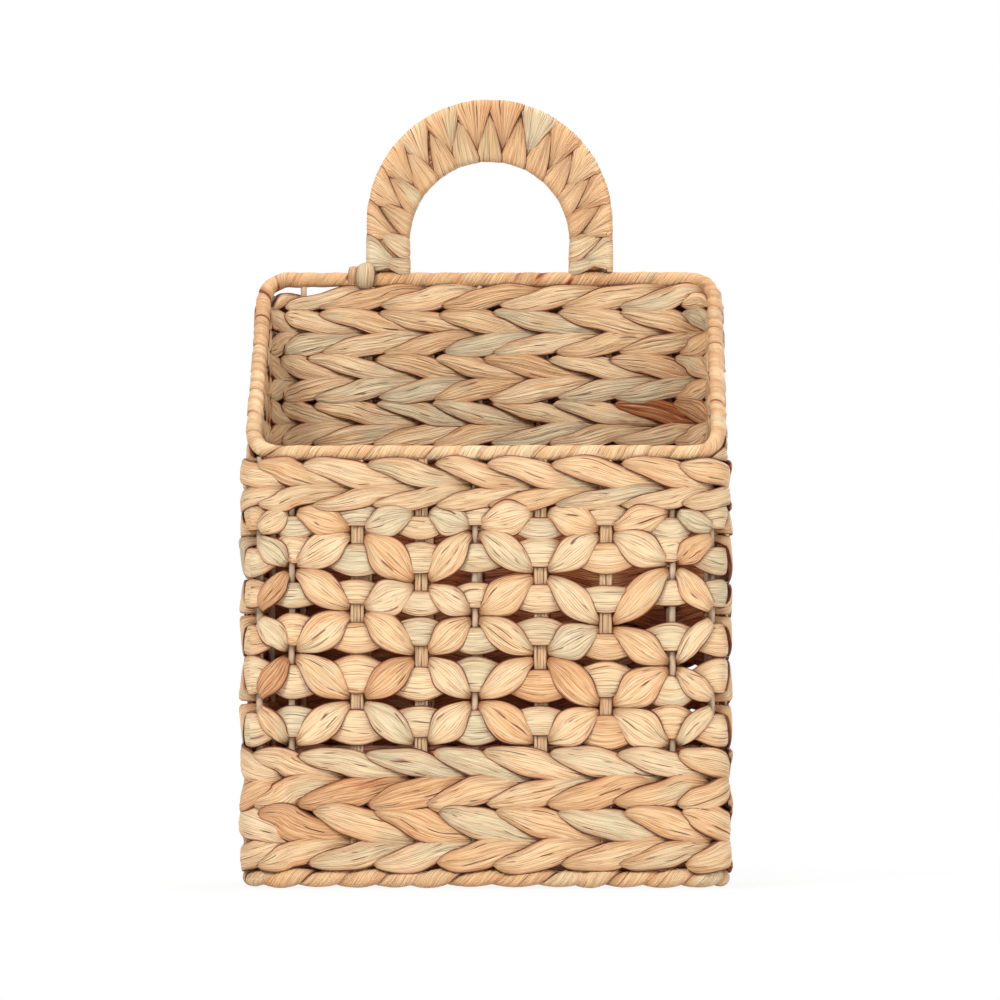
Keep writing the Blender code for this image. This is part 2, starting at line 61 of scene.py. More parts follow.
# Lamps: the place, width and power of each, and what they all point at
LAMPS = {
    "key": ((-1.3, -2.2, 1.9), 1.1, 59.5),
    "fill": ((1.8, -2.0, 0.9), 1.4, 29.0),
    "top": ((0.0, 0.3, 2.4), 1.2, 31.0),
    "back": ((0.9, 2.4, 1.3), 1.6, 34.0),
}
LAMP_TARGET = (0.0, 0.0, 0.2)
ROOM_LIGHT = 0.172
WHITE = (1.0, 1.0, 1.0, 1.0)

# Floor: its own grey, how much white the camera sees near the basket, and between what distances it fades
FLOOR_SIZE = 6.0
FLOOR_GREY = (0.84, 0.84, 0.84, 1.0)
FLOOR_WHITE_NEAR = 0.90
FLOOR_FADE = (0.14, 0.50)

# Wall line, through the centres of the stakes
WALL_CORNER_RADIUS = 0.013
ARC_STEPS = 30
WALL_TRIALS = 8000
RIM_WRAP_RADIUS = 0.0040

# Strands: the points round one, how far apart its rings stand, how flat its section is, and the weld
ROUND = 38
RING_STEP = 0.0017
LENS_POWER = 0.62
WELD = 1.0e-6

# Twined rows: a lobe's reach to each side of its stake, counted in stakes, and its sizes. The share
# values are of half the row's height.
LOBE_HEAD_REACH = 0.82
LOBE_TAIL_REACH = 1.00
LOBE_RINGS = 26
LOBE_ROUND = 36
LOBE_WIDTH_SHARE = 1.055
LOBE_RISE_SHARE = 0.70
LOBE_STAND = 0.0040
LOBE_HEAD = 0.0022
LOBE_HALF_THICKNESS = 0.0022
LOBE_TIP_THICKNESS = 0.0007
LOBE_HEAD_POINT = 0.72
LOBE_TAIL_POINT = 0.58
LOBE_LEAN = 0.16
LOBE_TAIL_SPAN = 1.78
LOBE_RISE_SPAN = 1.70
ROW_SHIFT = 0.10
ROW_PAST_SIDE = 0.45
ROW_SIDE_TAPER = 0.06
ROW_LEAST = 0.0012
TWINE_CORNER_EASE = 0.0015

# How much a lobe's place, width, depth, slant and lean vary, and its two phases
LOBE_SPREADS = np.array((0.07, 0.08, 0.15, 0.16, 0.14, 1.0, 1.0))

# Openwork
LEVEL_STAND = 0.0034
LEVEL_DIP = 0.0013
LEVEL_HALF_THICKNESS = 0.0017
LEVEL_SHARE = 0.405
LEVEL_NARROW_SHARE = 0.30
LEVEL_PUSH = 0.0021
ZIGZAG_BEHIND = -0.0028
ZIGZAG_CROWN = 0.0049
ZIGZAG_HALF_WIDTH = 0.0091
ZIGZAG_NECK = 0.0018
ZIGZAG_TIP = 0.0018
ZIGZAG_HALF_THICKNESS = 0.0014
ZIGZAG_HOLD = {"wire": 0.0020, "fibre": 0.0034}
ZIGZAG_RUN = 0.0026
ZIGZAG_POINT = 1.30
ZIGZAG_STEP = 0.0014
ZIGZAG_FULL_SPAN = 0.030

# Tones run from 0, green-grey, over straw to 1, wine red. The two below are painted shade: dark red-brown
# on the openwork's sides that face into the basket, and on each twined lobe's side that faces the stakes
INSIDE_SHADE_TONE = 0.92
HIDDEN_SIDE_SHADE_TONE = 0.80

# The back: its openwork sags and is laid broader, its top row leaves a gap under the rim at the left,
# and its rows are pressed flatter where they turn into the sides
BACK_FADE = 0.04
BACK_SAG = 0.0050
BACK_FILL = 0.32
BACK_LEFT_GAP = 0.0040
BACK_LEFT_GAP_FROM = -0.066
BACK_LEFT_GAP_FADE = 0.024
BACK_SIDE_PRESS = 0.40
BACK_SIDE_FROM = 0.106
BACK_SIDE_FADE = 0.010

# Crossings of the openwork by level from the top and by stake from the front left corner, in millimetres
STAR_LIFTS = {
    (1, 0): 2.4, (1, 2): 3.9, (1, 4): 5.5, (1, 6): 3.9, (1, 8): 3.4,
    (2, 1): 6.5, (2, 3): -1.7, (2, 5): 3.4, (2, 7): 7.5,
    (3, 0): 1.5, (3, 2): 3.0, (3, 4): 0.5, (3, 6): -4.6, (3, 8): 1.0,
    (4, 1): 2.5, (4, 3): 1.0, (4, 5): 1.0, (4, 7): -4.1,
    (5, 0): 2.0, (5, 2): 3.1, (5, 4): 3.1, (5, 6): -0.9, (5, 8): 1.6,
    (6, 1): 1.5, (6, 3): 2.0, (6, 5): 2.5, (6, 7): 1.0,
}
STAR_SPREAD = 0.0012

# Stakes and upright wires
STAKE_FIBRES = 4
STAKE_FIBRE_PITCH = 0.0016
STAKE_FIBRE_SHARE = 0.58
STAKE_HALF_THICKNESS = 0.00125
STAKE_STEP = 0.0035
STAKE_OUT = 0.0008
STAKE_END = 0.0004
STAKE_INTO_RIM = 0.0022
WIRE_HALF = 0.0016
WIRE_STEP = 0.004

# Handle: the wires' places across it, and the lobes of the strand that is wound round them
HANDLE_WIRE = 0.0017
HANDLE_HALF_GAP = 0.0077
HANDLE_REACH = 0.0034
HANDLE_LIFT = 0.0029
HANDLE_UNDER = 0.0016
HANDLE_TIP = 0.0074
HANDLE_FULL_FROM = 0.0086
HANDLE_NECK = 0.0006
HANDLE_OVERLAP = 1.22
HANDLE_LEAN = 0.0030
HANDLE_UNDER_HALF = 0.0098
HANDLE_UNDER_DEPTH = 0.19
# The layer under the lobes is darker than they are: painted shade in the gaps between their tips
HANDLE_UNDER_SHADE_TONE = 0.74
HANDLE_SHINGLE = 0.07
HANDLE_SKEW = 0.0010
HANDLE_HALF_THICKNESS = 0.0007
HANDLE_LENGTH = 0.218
HANDLE_LOBES = 14
HANDLE_END_LOBE = 0.20
HANDLE_END_SIZE = 0.66
HANDLE_ROUND = 44
HANDLE_TONES = {
    0: 0.32, 1: 0.18, 2: 0.40, 13: 0.62, 15: 0.64, 17: 0.20, 19: 0.60, 26: 0.44, 27: 0.26, 28: 0.22,
}

# Wraps: the points round and along a turn, the radius to the middle of the leaf, and what each turn is like
WRAP_ROUND = 20
WRAP_TURN_RINGS = 26
WRAP_STEPS = 1200
RIM_RADIUS = 0.0031
RIM_TURN_LONG = 0.0145
RIM_TURN_SHORT = 0.0092
RIM_TURNS = {
    "thickness": 0.0011, "overlap": 1.24, "lift": 0.0004, "crown": 0.0002, "uneven": 0.00025, "seam": 0.42,
}
BASE_RING_INSET = 0.0027
BASE_RING_OUT = 0.001
BASE_RING_UP = 0.0003
BASE_RING_TURN_LENGTHS = (0.0120, 0.0245, 39)
BASE_RING_TURNS = {
    "thickness": 0.0010, "overlap": 1.14, "lift": 0.0007, "crown": 0.0017, "uneven": 0.0006, "seam": 0.75,
}

# Base: rows of the weft, insets from the walls, and the sizes of the strands
BASE_ROWS = 5
BASE_END_INSET = 0.0030
BASE_ROW_INSET = 0.0033
BASE_REACH = 0.97
BASE_OVER = 0.0021
BASE_WARP_HALF = 0.0046
BASE_WEFT_SHARE = 0.96
BASE_HALF_THICKNESS = 0.0011
BASE_STEP = 0.0022
BASE_LOBE = 0.030
BASE_TAPER = 0.006

# The rim's wrap: the tone of its narrow dark rings, and where they are, from above
RIM_RING_TONE = 0.93
RIM_RING_NEAR = 0.0075
RIM_RINGS = (
    (-0.118, 0.047), (-0.118, 0.0355), (0.118, 0.011), (0.118, -0.030), (0.0055, -0.055), (-0.060, 0.054),
    (0.048, 0.054),
)

# Lobes of an odd tone, by piece and by stake from the front left corner
ACCENTS = {
    "lower_row_4": {2: 0.26, 4: 0.22, 6: 0.28},
    "lower_row_3": {2: 0.66, 3: 0.60},
    "lower_row_2": {1: 0.62, 4: 0.20, 6: 0.24},
    "upper_row_1": {6: 0.20},
    "back_row_3": {13: 0.82, 12: 0.66, 16: 0.24},
    "back_row_6": {16: 0.12, 19: 0.20},
    "back_row_4": {14: 0.18},
    "back_row_7": {15: 0.20},
    "level_strand_2": {2: 0.18, 4: 0.20},
    "level_strand_4": {2: 0.50, 4: 0.22},
    "level_strand_5": {4: 0.26, 7: 0.24},
    "zigzag_strand_3": {0: 0.68},
    "zigzag_strand_5": {0: 0.72, 2: 0.62},
}

# Leaf finishes: fibres round the strand and strength of the dark lines
LEAF_FINISHES = {
    "twined_leaf": (46.0, 1.0),
    "level_leaf": (44.0, 0.8),
    "zigzag_leaf": (42.0, 1.0),
    "fibre_stake_leaf": (12.0, 0.25),
    "rim_leaf": (56.0, 0.55),
    "base_ring_leaf": (56.0, 0.7),
    "handle_leaf": (56.0, 0.8),
    "base_leaf": (34.0, 0.8),
}
LEAF_BUMP = (0.80, 0.0010)
LEAF_GLOSS = 0.36
WIRE_BUMP = (0.25, 0.0004)


def unit(vectors):
    return vectors / np.linalg.norm(vectors, axis=-1, keepdims=True)


def smooth(share):
    share = np.clip(share, 0.0, 1.0)
    return share * share * (3.0 - 2.0 * share)


def middle_of(node):
    low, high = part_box(node)
    return (low + high) / 2


def run_along(points):
    """The distance along a path at each of its points."""
    steps = np.linalg.norm(np.diff(points, axis=0), axis=1)
    return np.concatenate(((0.0,), np.cumsum(steps)))


def sampled(place, along, rows):
    """The rows of a table, read off at these distances along it."""
    return np.stack([np.interp(place, along, column) for column in rows.T], axis=-1)


WALL_HALF_WIDTH = middle_of("right_fibre_stake_2").x
WALL_HALF_DEPTH = middle_of("back_wire_stake_4").y


def wall_table():
    """Distance, place and outward direction along the wall line, anticlockwise from the middle of the
    front left corner's arc. The straights lie between one arc's end and the next one's start."""
    across = WALL_HALF_WIDTH - WALL_CORNER_RADIUS
    along = WALL_HALF_DEPTH - WALL_CORNER_RADIUS
    arcs = ((-1, -1, -0.75, -0.5), (1, -1, -0.5, 0.0), (1, 1, 0.0, 0.5), (-1, 1, 0.5, 1.0), (-1, -1, 1.0, 1.25))
    rows = []
    for side_x, side_y, start, end in arcs:
        angle = np.linspace(start, end, ARC_STEPS) * math.pi
        ways = np.stack((np.cos(angle), np.sin(angle)), axis=1)
        rows.append(np.hstack((ways * WALL_CORNER_RADIUS + (side_x * across, side_y * along), ways)))
    rows = np.vstack(rows)
    return run_along(rows[:, :2]), rows


WALL_DISTANCES, WALL_ROWS = wall_table()
WALL_LENGTH = WALL_DISTANCES[-1]


def on_wall(distance, outset=0.0, height=0.0):
    """Points at these distances along the wall line, moved outwards and up, and the ways outwards."""
    place = np.mod(distance, WALL_LENGTH)
    x, y, way_x, way_y = (np.interp(place, WALL_DISTANCES, column) for column in WALL_ROWS.T)
    outward = unit(np.stack((way_x, way_y, np.zeros_like(x)), axis=-1))
    level = np.stack((x, y, np.zeros_like(x)), axis=-1)
    return level + outward * np.expand_dims(outset, -1) + UP * np.expand_dims(height, -1), outward


def distance_at(x, y):
    """The wall line's distance nearest to a point."""
    trial = np.linspace(0.0, WALL_LENGTH, WALL_TRIALS + 1)[:-1]
    points, _ = on_wall(trial)
    return trial[np.argmin(np.hypot(points[:, 0] - x, points[:, 1] - y))]


def stakes_in_order():
    """Distances, names and kinds of the stakes along the wall line."""
    found = []
    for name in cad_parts:
        if "stake" in name or "corner_wire" in name:
            centre = middle_of(name)
            kind = "wire" if "wire" in name else "fibre"
            found.append((distance_at(centre.x, centre.y), name, kind))
    return sorted(found)


STAKES = stakes_in_order()
STAKE_COUNT = len(STAKES)
STAKE_DISTANCES = np.array([distance for distance, _, _ in STAKES] + [STAKES[0][0] + WALL_LENGTH])


def distance_of(place):
    """Distance along the wall line of a place counted in stakes; a half lies midway between two."""
    turns = np.floor(place / STAKE_COUNT)
    within = place - turns * STAKE_COUNT
    return np.interp(within, np.arange(STAKE_COUNT + 1), STAKE_DISTANCES) + turns * WALL_LENGTH


def carried(values, place, sharp=3.0):
    """Values given lobe by lobe, held along each lobe and changed over where the strand is pinched."""
    before = np.floor(place).astype(int)
    share = smooth((place - before - 0.5) * sharp + 0.5)
    first = values[before % len(values)]
    second = values[(before + 1) % len(values)]
    return first + (second - first) * share


def corner_share(outward):
    """1 in the middle of a corner's arc, 0 along the straight sides."""
    return np.clip(2.0 * np.abs(outward[:, 0] * outward[:, 1]), 0.0, 1.0)


def rolled(path, outward, half_width, half_thickness, tones, seed, lobes=0.0, pinch=0.0, closed=False,
           lean=0.0, shade=0.0, ridge=0.0003, around=ROUND, ridges=(7, 12), flat=LENS_POWER, edge=16):
    """One strand: a sheet of leaf rolled round its path. lobes counts the strand's lobes along it, and
    tones holds the tone of its outer and its inner side. Gives points, length and leaf values by ring."""
    rng = np.random.default_rng(seed)
    count = len(path)
    lobes, pinch, lean, shade, outer_tone, inner_tone = (
        np.broadcast_to(value, count) for value in (lobes, pinch, lean, shade, *tones))
    if closed:
        travel = np.roll(path[:-1], -1, axis=0) - np.roll(path[:-1], 1, axis=0)
        travel = unit(np.vstack((travel, travel[:1])))
    else:
        travel = unit(np.gradient(path, axis=0))
    face = unit(outward - travel * np.sum(outward * travel, axis=1, keepdims=True))
    wide = np.cross(face, travel)
    turn = lean[:, None]
    face, wide = face * np.cos(turn) + wide * np.sin(turn), wide * np.cos(turn) - face * np.sin(turn)
    share = np.linspace(0.0, 1.0, around + 1)
    angle = 2.0 * math.pi * share
    across = -np.cos(angle)
    side = np.sign(np.sin(angle))
    bulge = np.abs(np.sin(angle))
    outer = smooth(0.8 + 1.5 * np.sin(angle))[None, :]
    number_of_lobes = max(int(math.ceil(lobes.max())), 1)
    hump = np.zeros((count, around + 1))
    for number, strength in zip(ridges, (0.6, 0.4)):
        first = carried(rng.uniform(0.0, 1.0, number_of_lobes), lobes, 2.0)[:, None]
        second = carried(rng.uniform(0.0, 1.0, number_of_lobes), lobes + 0.5, 2.0)[:, None]
        wander = 0.35 * np.sin(2.0 * math.pi * (lobes * 1.7 + rng.uniform()))[:, None]
        phase = second + (first - second) * outer + wander
        hump += strength * np.abs(np.sin(math.pi * (number * share[None, :] + phase))) ** 0.75
    crown = carried(rng.uniform(-0.30, 0.30, number_of_lobes), lobes, 1.5)[:, None]
    shaped = side * bulge**flat * (1.0 + crown * across)
    fill = half_width / np.max(half_width)
    size = ridge * np.clip(fill, 0.35, 1.0) * np.clip(fill * 5.0, 0.0, 1.0)
    rise = shaped * half_thickness[:, None] + (hump - 0.6) * size[:, None] * side * bulge**0.6
    points = path[:, None] + wide[:, None] * (across * half_width[:, None])[..., None]
    points = points + face[:, None] * rise[..., None]
    leaf = np.empty((count, around + 1, 4))
    leaf[..., 0] = inner_tone[:, None] + (outer_tone - inner_tone)[:, None] * outer
    # Pinch mask: browner where the strand narrows and goes under another, partly crease colour, partly painted
    # shade
    leaf[..., 1] = pinch[:, None]
    # Edge mask: where the strand meets its neighbours, coloured below as painted shade, partly the leaf's own
    # browner edge
    leaf[..., 2] = np.abs(across) ** edge
    # Painted shade: darker in the valleys between the ridges, and wherever the caller asks for it
    leaf[..., 3] = np.maximum(0.30 * np.clip(1.0 - hump * 2.4, 0.0, 1.0), shade[:, None])
    if closed:
        points[-1] = points[0]
    points[:, -1] = points[:, 0]
    length = np.sum(np.linalg.norm(np.diff(path, axis=0), axis=1))
    return points, length, leaf


def placed(name, data):
    """An object of its own for a mesh, a lamp or a camera."""
    made = bpy.data.objects.new(name, data)
    bpy.context.scene.collection.objects.link(made)
    return made


def rolled_piece(name, sheets, slot, *nodes):
    """Makes one piece from rolled sheets: each starts as a flat grid, is bent round its path and is
    welded along its edge and at its ends."""
    whole = bmesh.new()
    start = sum(ord(letter) * (place + 1) for place, letter in enumerate(name)) % 211 * 0.173
    for number, (points, length, leaf) in enumerate(sheets):
        rings, around = points.shape[0] - 1, points.shape[1] - 1
        flat = bmesh.new()
        bmesh.ops.create_grid(flat, x_segments=around, y_segments=rings, size=0.5)
        mesh = bpy.data.meshes.new("sheet")
        flat.to_mesh(mesh)
        flat.free()
        corners = np.empty(len(mesh.vertices) * 3, np.float32)
        mesh.vertices.foreach_get("co", corners)
        corners = corners.reshape(-1, 3)
        ring = np.rint((corners[:, 1] + 0.5) * rings).astype(int)
        side = np.rint((corners[:, 0] + 0.5) * around).astype(int)
        mesh.vertices.foreach_set("co", points[ring, side].astype(np.float32).ravel())
        values = mesh.attributes.new("leaf", "FLOAT_COLOR", "POINT")
        values.data.foreach_set("color", leaf[ring, side].astype(np.float32).ravel())
        loops = np.empty(len(mesh.loops), np.int32)
        mesh.loops.foreach_get("vertex_index", loops)
        grid = np.stack((ring[loops] / rings * length + start, side[loops] / around + 2 * number), axis=1)
        mesh.uv_layers.new(name="strand").data.foreach_set("uv", grid.astype(np.float32).ravel())
        whole.from_mesh(mesh)
        bpy.data.meshes.remove(mesh)
    edge = [vertex for vertex in whole.verts if vertex.is_boundary]
    bmesh.ops.remove_doubles(whole, verts=edge, dist=WELD)
    bmesh.ops.recalc_face_normals(whole, faces=whole.faces)
    mesh = bpy.data.meshes.new(name)
    whole.to_mesh(mesh)
    whole.free()
    mesh.shade_smooth()
    mesh.materials.append(MATERIALS[slot])
    piece = placed(name, mesh)
    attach(piece, "root")
    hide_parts(*nodes)


def rings_for(length, step=RING_STEP):
    return int(math.ceil(length / step))


def lobe_tones(rng, accents=None, count=STAKE_COUNT, middle=0.42, spread=0.045, odd=0.08):
    """A tone for each lobe: most are straw, and a few run to green-grey or to brown."""
    tones = np.clip(rng.normal(middle, spread, count), 0.22, 0.60)
    pick = rng.uniform(0.0, 1.0, count)
    tones[pick < odd * 0.6] = 0.17
    tones[pick > 1.0 - odd * 0.4] = 0.56
    for lobe, tone in (accents or {}).items():
        tones[lobe % count] = tone
    return tones


def rim_height(y):
    """The rim's centre line falls from the back to the front in one plane."""
    low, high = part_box("rim_wire")
    share = (y - low.y) / (high.y - low.y)
    return low.z + (high.z - low.z) * share


def twined_row(name, falls, seed, accents=None):
    """A row of twining. Each stake has a lobe of one leg outside it and one of the other leg inside it.
    Seen from its own side, a lobe's left end lies on the lobe before it and its right end goes under the
    next one."""
    low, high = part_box(name)
    is_full = low.y < -WALL_HALF_DEPTH
    rng = np.random.default_rng(seed)
    shift = rng.uniform(-ROW_SHIFT, ROW_SHIFT)
    start, end = -2.0, STAKE_COUNT + 2.0
    if not is_full:
        start = place_of(distance_at(WALL_HALF_WIDTH, low.y)) - ROW_PAST_SIDE
        end = place_of(distance_at(-WALL_HALF_WIDTH, low.y)) + ROW_PAST_SIDE
    sheets = []
    for inner in (False, True):
        tones = lobe_tones(rng, accents if inner != is_full else None)
        for centre in range(STAKE_COUNT):
            slip, size, depth, steep, lean, first, second = rng.uniform(-1.0, 1.0, 7) * LOBE_SPREADS
            if not start - 0.3 < centre < end + 0.3:
                continue
            seen = np.linspace(-LOBE_HEAD_REACH, LOBE_TAIL_REACH, LOBE_RINGS + 1)
            run = -seen if inner else seen
            bent = np.linspace(-1.0, 1.0, LOBE_RINGS + 1)
            place = np.clip(centre + run + shift + slip, start, end)
            distance = distance_of(place)
            level, outward = on_wall(distance)
            top = np.full_like(distance, high.z)
            ends = np.ones_like(place)
            if not is_full:
                top = np.minimum(top, rim_height(level[:, 1]) - RIM_WRAP_RADIUS * 0.90)
                if name == "back_row_8":
                    left = smooth((BACK_LEFT_GAP_FROM - level[:, 0]) / BACK_LEFT_GAP_FADE)
                    top = top - BACK_LEFT_GAP * left * smooth(level[:, 1] / BACK_FADE)
                ends = smooth(np.minimum(place - start, end - place) / ROW_SIDE_TAPER)
            full = np.maximum(top - low.z, ROW_LEAST) / 2
            swell = np.clip(np.cos(math.pi / 2 * (bent + LOBE_LEAN * (1.0 - bent**2)) * 0.975), 0.0, 1.0)
            tips = np.clip((1.0 - np.abs(bent)) / 0.06, 0.0, 1.0) ** 0.6 * ends
            point = np.where(bent < 0.0, LOBE_HEAD_POINT, LOBE_TAIL_POINT)
            ripple = 1.0 + 0.05 * np.sin(math.pi * (bent * 2.6 + first))
            half_width = full * LOBE_WIDTH_SHARE * (1.0 + size) * swell**point * tips * ripple
            thickness = (LOBE_TIP_THICKNESS + (LOBE_HALF_THICKNESS - LOBE_TIP_THICKNESS) * swell) * tips
            head = LOBE_STAND + LOBE_HEAD * (seen / LOBE_HEAD_REACH) ** 2
            tail = LOBE_STAND * np.clip(np.cos(math.pi * seen / LOBE_TAIL_SPAN), 0.0, 1.0) ** 0.85
            stand = np.where(seen < 0.0, head, tail) + TWINE_CORNER_EASE * corner_share(outward)
            if not is_full:
                sides = smooth((np.abs(level[:, 0]) - BACK_SIDE_FROM) / BACK_SIDE_FADE)
                stand = stand * (1.0 - BACK_SIDE_PRESS * sides)
            rise = full * LOBE_RISE_SHARE * (1.0 + steep) * np.sin(math.pi * run / LOBE_RISE_SPAN)
            bend = full * 0.07 * np.sin(math.pi * (bent * 1.7 + second))
            rise = rise * (1.0 if falls == inner else -1.0) + bend
            path, outward = on_wall(distance, stand * (-1.0 if inner else 1.0), low.z + full + rise)
            # The lobe's side that faces the stakes gets the painted shade tone
            pair = (HIDDEN_SIDE_SHADE_TONE, tones[centre]) if inner else (tones[centre], HIDDEN_SIDE_SHADE_TONE)
            # Browner towards the ends, most at the tail that goes under the next lobe: partly crease colour,
            # partly painted shade
            pinch = np.where(seen > 0.0, np.abs(bent) ** 3, 0.5 * np.abs(bent) ** 6)
            sheets.append(rolled(path, outward, half_width, thickness * (1.0 + depth), pair,
                                 int(rng.integers(1 << 30)), pinch=pinch, lean=lean, ridge=0.00034,
                                 around=LOBE_ROUND, edge=12))
    rolled_piece(name + "_leaf", sheets, "twined_leaf", name)


def place_of(distance):
    """The place in stakes of a distance along the wall line."""
    return float(np.interp(distance, STAKE_DISTANCES, np.arange(STAKE_COUNT + 1)))


def level_strand(name, number, seed, accents=None):
    """A flat strand laid level outside the stakes, wide over each stake and pressed in between."""
    low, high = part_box(name)
    band_low, band_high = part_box(f"zigzag_strand_{number}")
    half = (band_high.z - band_low.z) * LEVEL_SHARE
    rng = np.random.default_rng(seed)
    rings = rings_for(WALL_LENGTH * 1.02)
    place = np.linspace(0.0, STAKE_COUNT, rings + 1)
    distance = distance_of(place)
    near = np.cos(math.pi * place) ** 2
    _, outward = on_wall(distance)
    outset = LEVEL_STAND - LEVEL_DIP * (1.0 - near) + TWINE_CORNER_EASE * corner_share(outward)
    sizes = carried(rng.uniform(0.88, 1.10, STAKE_COUNT), place, 1.0)
    half_width = half * (1.0 - LEVEL_NARROW_SHARE * (1.0 - near)) * sizes * back_fill(distance)
    raised, lifted = stars_of(number)
    push = np.where(raised, -LEVEL_PUSH, LEVEL_PUSH) + rng.uniform(-0.0006, 0.0006, STAKE_COUNT)
    wander = carried(push + lifted * 0.6, place, 1.0)
    height = np.full_like(distance, (low.z + high.z) / 2)
    path, outward = on_wall(distance, outset, height + wander + back_sag(distance, height))
    outer_tones = lobe_tones(rng, accents, middle=0.34, spread=0.07, odd=0.2)
    thickness = LEVEL_HALF_THICKNESS * (0.75 + 0.35 * near)
    # Browner between the stakes, where the petals lie over it: painted shade
    pinch = 0.5 * (1.0 - near) ** 2
    # The side facing into the basket gets the painted shade tone
    tones = (carried(outer_tones, place, 4.0), INSIDE_SHADE_TONE)
    lean = carried(rng.uniform(-0.10, 0.10, STAKE_COUNT), place, 1.0)
    # Painted shade on the strand between the stakes, where the petals lie over it
    sheet = rolled(path, outward, half_width, thickness, tones, seed, place, pinch, closed=True, lean=lean,
                   shade=0.45 * (1.0 - near) ** 1.5, ridge=0.00028)
    rolled_piece(name + "_leaf", [sheet], "level_leaf", name)


def zigzag_strand(name, number, seed, accents=None):
    """A strand that passes behind each stake and slants over the level strand to the next one."""
    low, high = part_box(name)
    rng = np.random.default_rng(seed)
    raised, lifted = stars_of(number)
    tips = np.where(raised, high.z - ZIGZAG_TIP, low.z + ZIGZAG_TIP) + lifted
    rings = rings_for(WALL_LENGTH * 1.25, ZIGZAG_STEP)
    place = np.linspace(0.0, STAKE_COUNT, rings + 1)
    distance = distance_of(place)
    before = np.floor(np.minimum(place, STAKE_COUNT - 1e-9)).astype(int)
    share = place - before
    span = STAKE_DISTANCES[before + 1] - STAKE_DISTANCES[before]
    holds = np.array([ZIGZAG_HOLD[kind] for _, _, kind in STAKES + STAKES[:1]])
    from_left = share * span - holds[before]
    from_right = (1.0 - share) * span - holds[before + 1]
    nearest = np.minimum(from_left, from_right)
    out = smooth(nearest / ZIGZAG_RUN)
    outset = ZIGZAG_BEHIND + (ZIGZAG_CROWN - ZIGZAG_BEHIND) * out
    _, outward = on_wall(distance)
    outset = outset + TWINE_CORNER_EASE * corner_share(outward) * out
    first = tips[before]
    second = tips[(before + 1) % STAKE_COUNT]
    slide = np.clip(from_left / (span - holds[before] - holds[before + 1]), 0.0, 1.0)
    height = first + (second - first) * (0.55 * slide + 0.45 * smooth(slide))
    petals = np.clip(nearest / (span / 2 - holds[before] * 0.5 - holds[before + 1] * 0.5), 0.0, 1.0)
    sizes = rng.uniform(0.88, 1.12, STAKE_COUNT)[before % STAKE_COUNT]
    swell = np.sin(petals * math.pi / 2) ** ZIGZAG_POINT
    widest = ZIGZAG_HALF_WIDTH * sizes * np.clip(span / ZIGZAG_FULL_SPAN, 0.72, 1.0)
    half_width = ZIGZAG_NECK + (widest - ZIGZAG_NECK) * swell
    skew = carried(rng.uniform(-0.20, 0.20, STAKE_COUNT), place - 0.5, 9.0) * (share * 2.0 - 1.0)
    ripple = 0.04 * np.sin(2.0 * math.pi * (place * 1.63 + rng.uniform()))
    half_width = half_width * back_fill(distance) * (1.0 + (skew + ripple) * swell)
    thickness = ZIGZAG_HALF_THICKNESS * (0.70 + 0.50 * swell)
    path, outward = on_wall(distance, outset, height + back_sag(distance, height))
    # Browner at the petal's narrow ends by the stakes: partly crease colour, partly painted shade
    pinch = 0.9 * (1.0 - smooth(petals / 0.44))
    petal_tones = lobe_tones(rng, accents, middle=0.43, spread=0.06, odd=0.10)
    lobes = place - 0.5
    # The side facing into the basket gets the painted shade tone
    tones = (carried(petal_tones, lobes, 9.0), INSIDE_SHADE_TONE)
    lean = carried(rng.uniform(-0.20, 0.20, STAKE_COUNT), lobes, 2.0)
    sheet = rolled(path, outward, half_width, thickness, tones, seed, lobes, pinch, closed=True, lean=lean,
                   ridge=0.00042)
    rolled_piece(name + "_leaf", [sheet], "zigzag_leaf", name)


def stake_run(length, step):
    """Shares along a stake, with a ring close to each end so that it ends bluntly, and its taper."""
    share = np.linspace(0.0, 1.0, rings_for(length, step) + 1)
    end = STAKE_END / length
    share = np.concatenate(((0.0, end), share[1:-1], (1.0 - end, 1.0)))
    return share, np.clip(np.minimum(share, 1.0 - share) / end, 0.0, 1.0)


def stake_place(name):
    """A stake's distance along the wall line, its foot, and its length into the rim's wrap."""
    low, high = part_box(name)
    centre = (low + high) / 2
    return distance_at(centre.x, centre.y), low.z, high.z - low.z + STAKE_INTO_RIM


def fibre_stake(name, seed):
    """A leaf stake: four stiff fibres side by side, flat against the wall line."""
    distance, foot, length = stake_place(name)
    rng = np.random.default_rng(seed)
    sheets = []
    for number in range(STAKE_FIBRES):
        share, taper = stake_run(length, STAKE_STEP)
        shift = (number - (STAKE_FIBRES - 1) / 2) * STAKE_FIBRE_PITCH
        sway = 0.00022 * np.sin(2 * math.pi * (share * rng.uniform(2.5, 5.0) + rng.uniform()))
        path, outward = on_wall(distance + shift + sway, STAKE_OUT + sway * 0.8, foot + length * share)
        half_width = STAKE_FIBRE_SHARE * STAKE_FIBRE_PITCH * taper
        tone = rng.uniform(0.33, 0.43)
        sheets.append(rolled(path, outward, half_width, STAKE_HALF_THICKNESS * taper, (tone, tone),
                             seed * 5 + number, share * 9, 0.2, ridge=0.00010, around=12, ridges=(2, 3)))
    rolled_piece(name + "_leaf", sheets, "fibre_stake_leaf", name)


def round_wire(name):
    """A painted upright wire, a little uneven as drawn and painted wire is."""
    distance, foot, length = stake_place(name)
    share, taper = stake_run(length, WIRE_STEP)
    sway = 0.00012 * np.sin(share * 19.0 + distance * 90.0)
    path, outward = on_wall(distance + sway, sway, foot + length * share)
    size = WIRE_HALF * taper
    sheet = rolled(path, outward, size, size, (0.0, 0.0), 1, share, ridge=0.0, around=16)
    rolled_piece(name + "_painted", [sheet], "painted_wire", name)


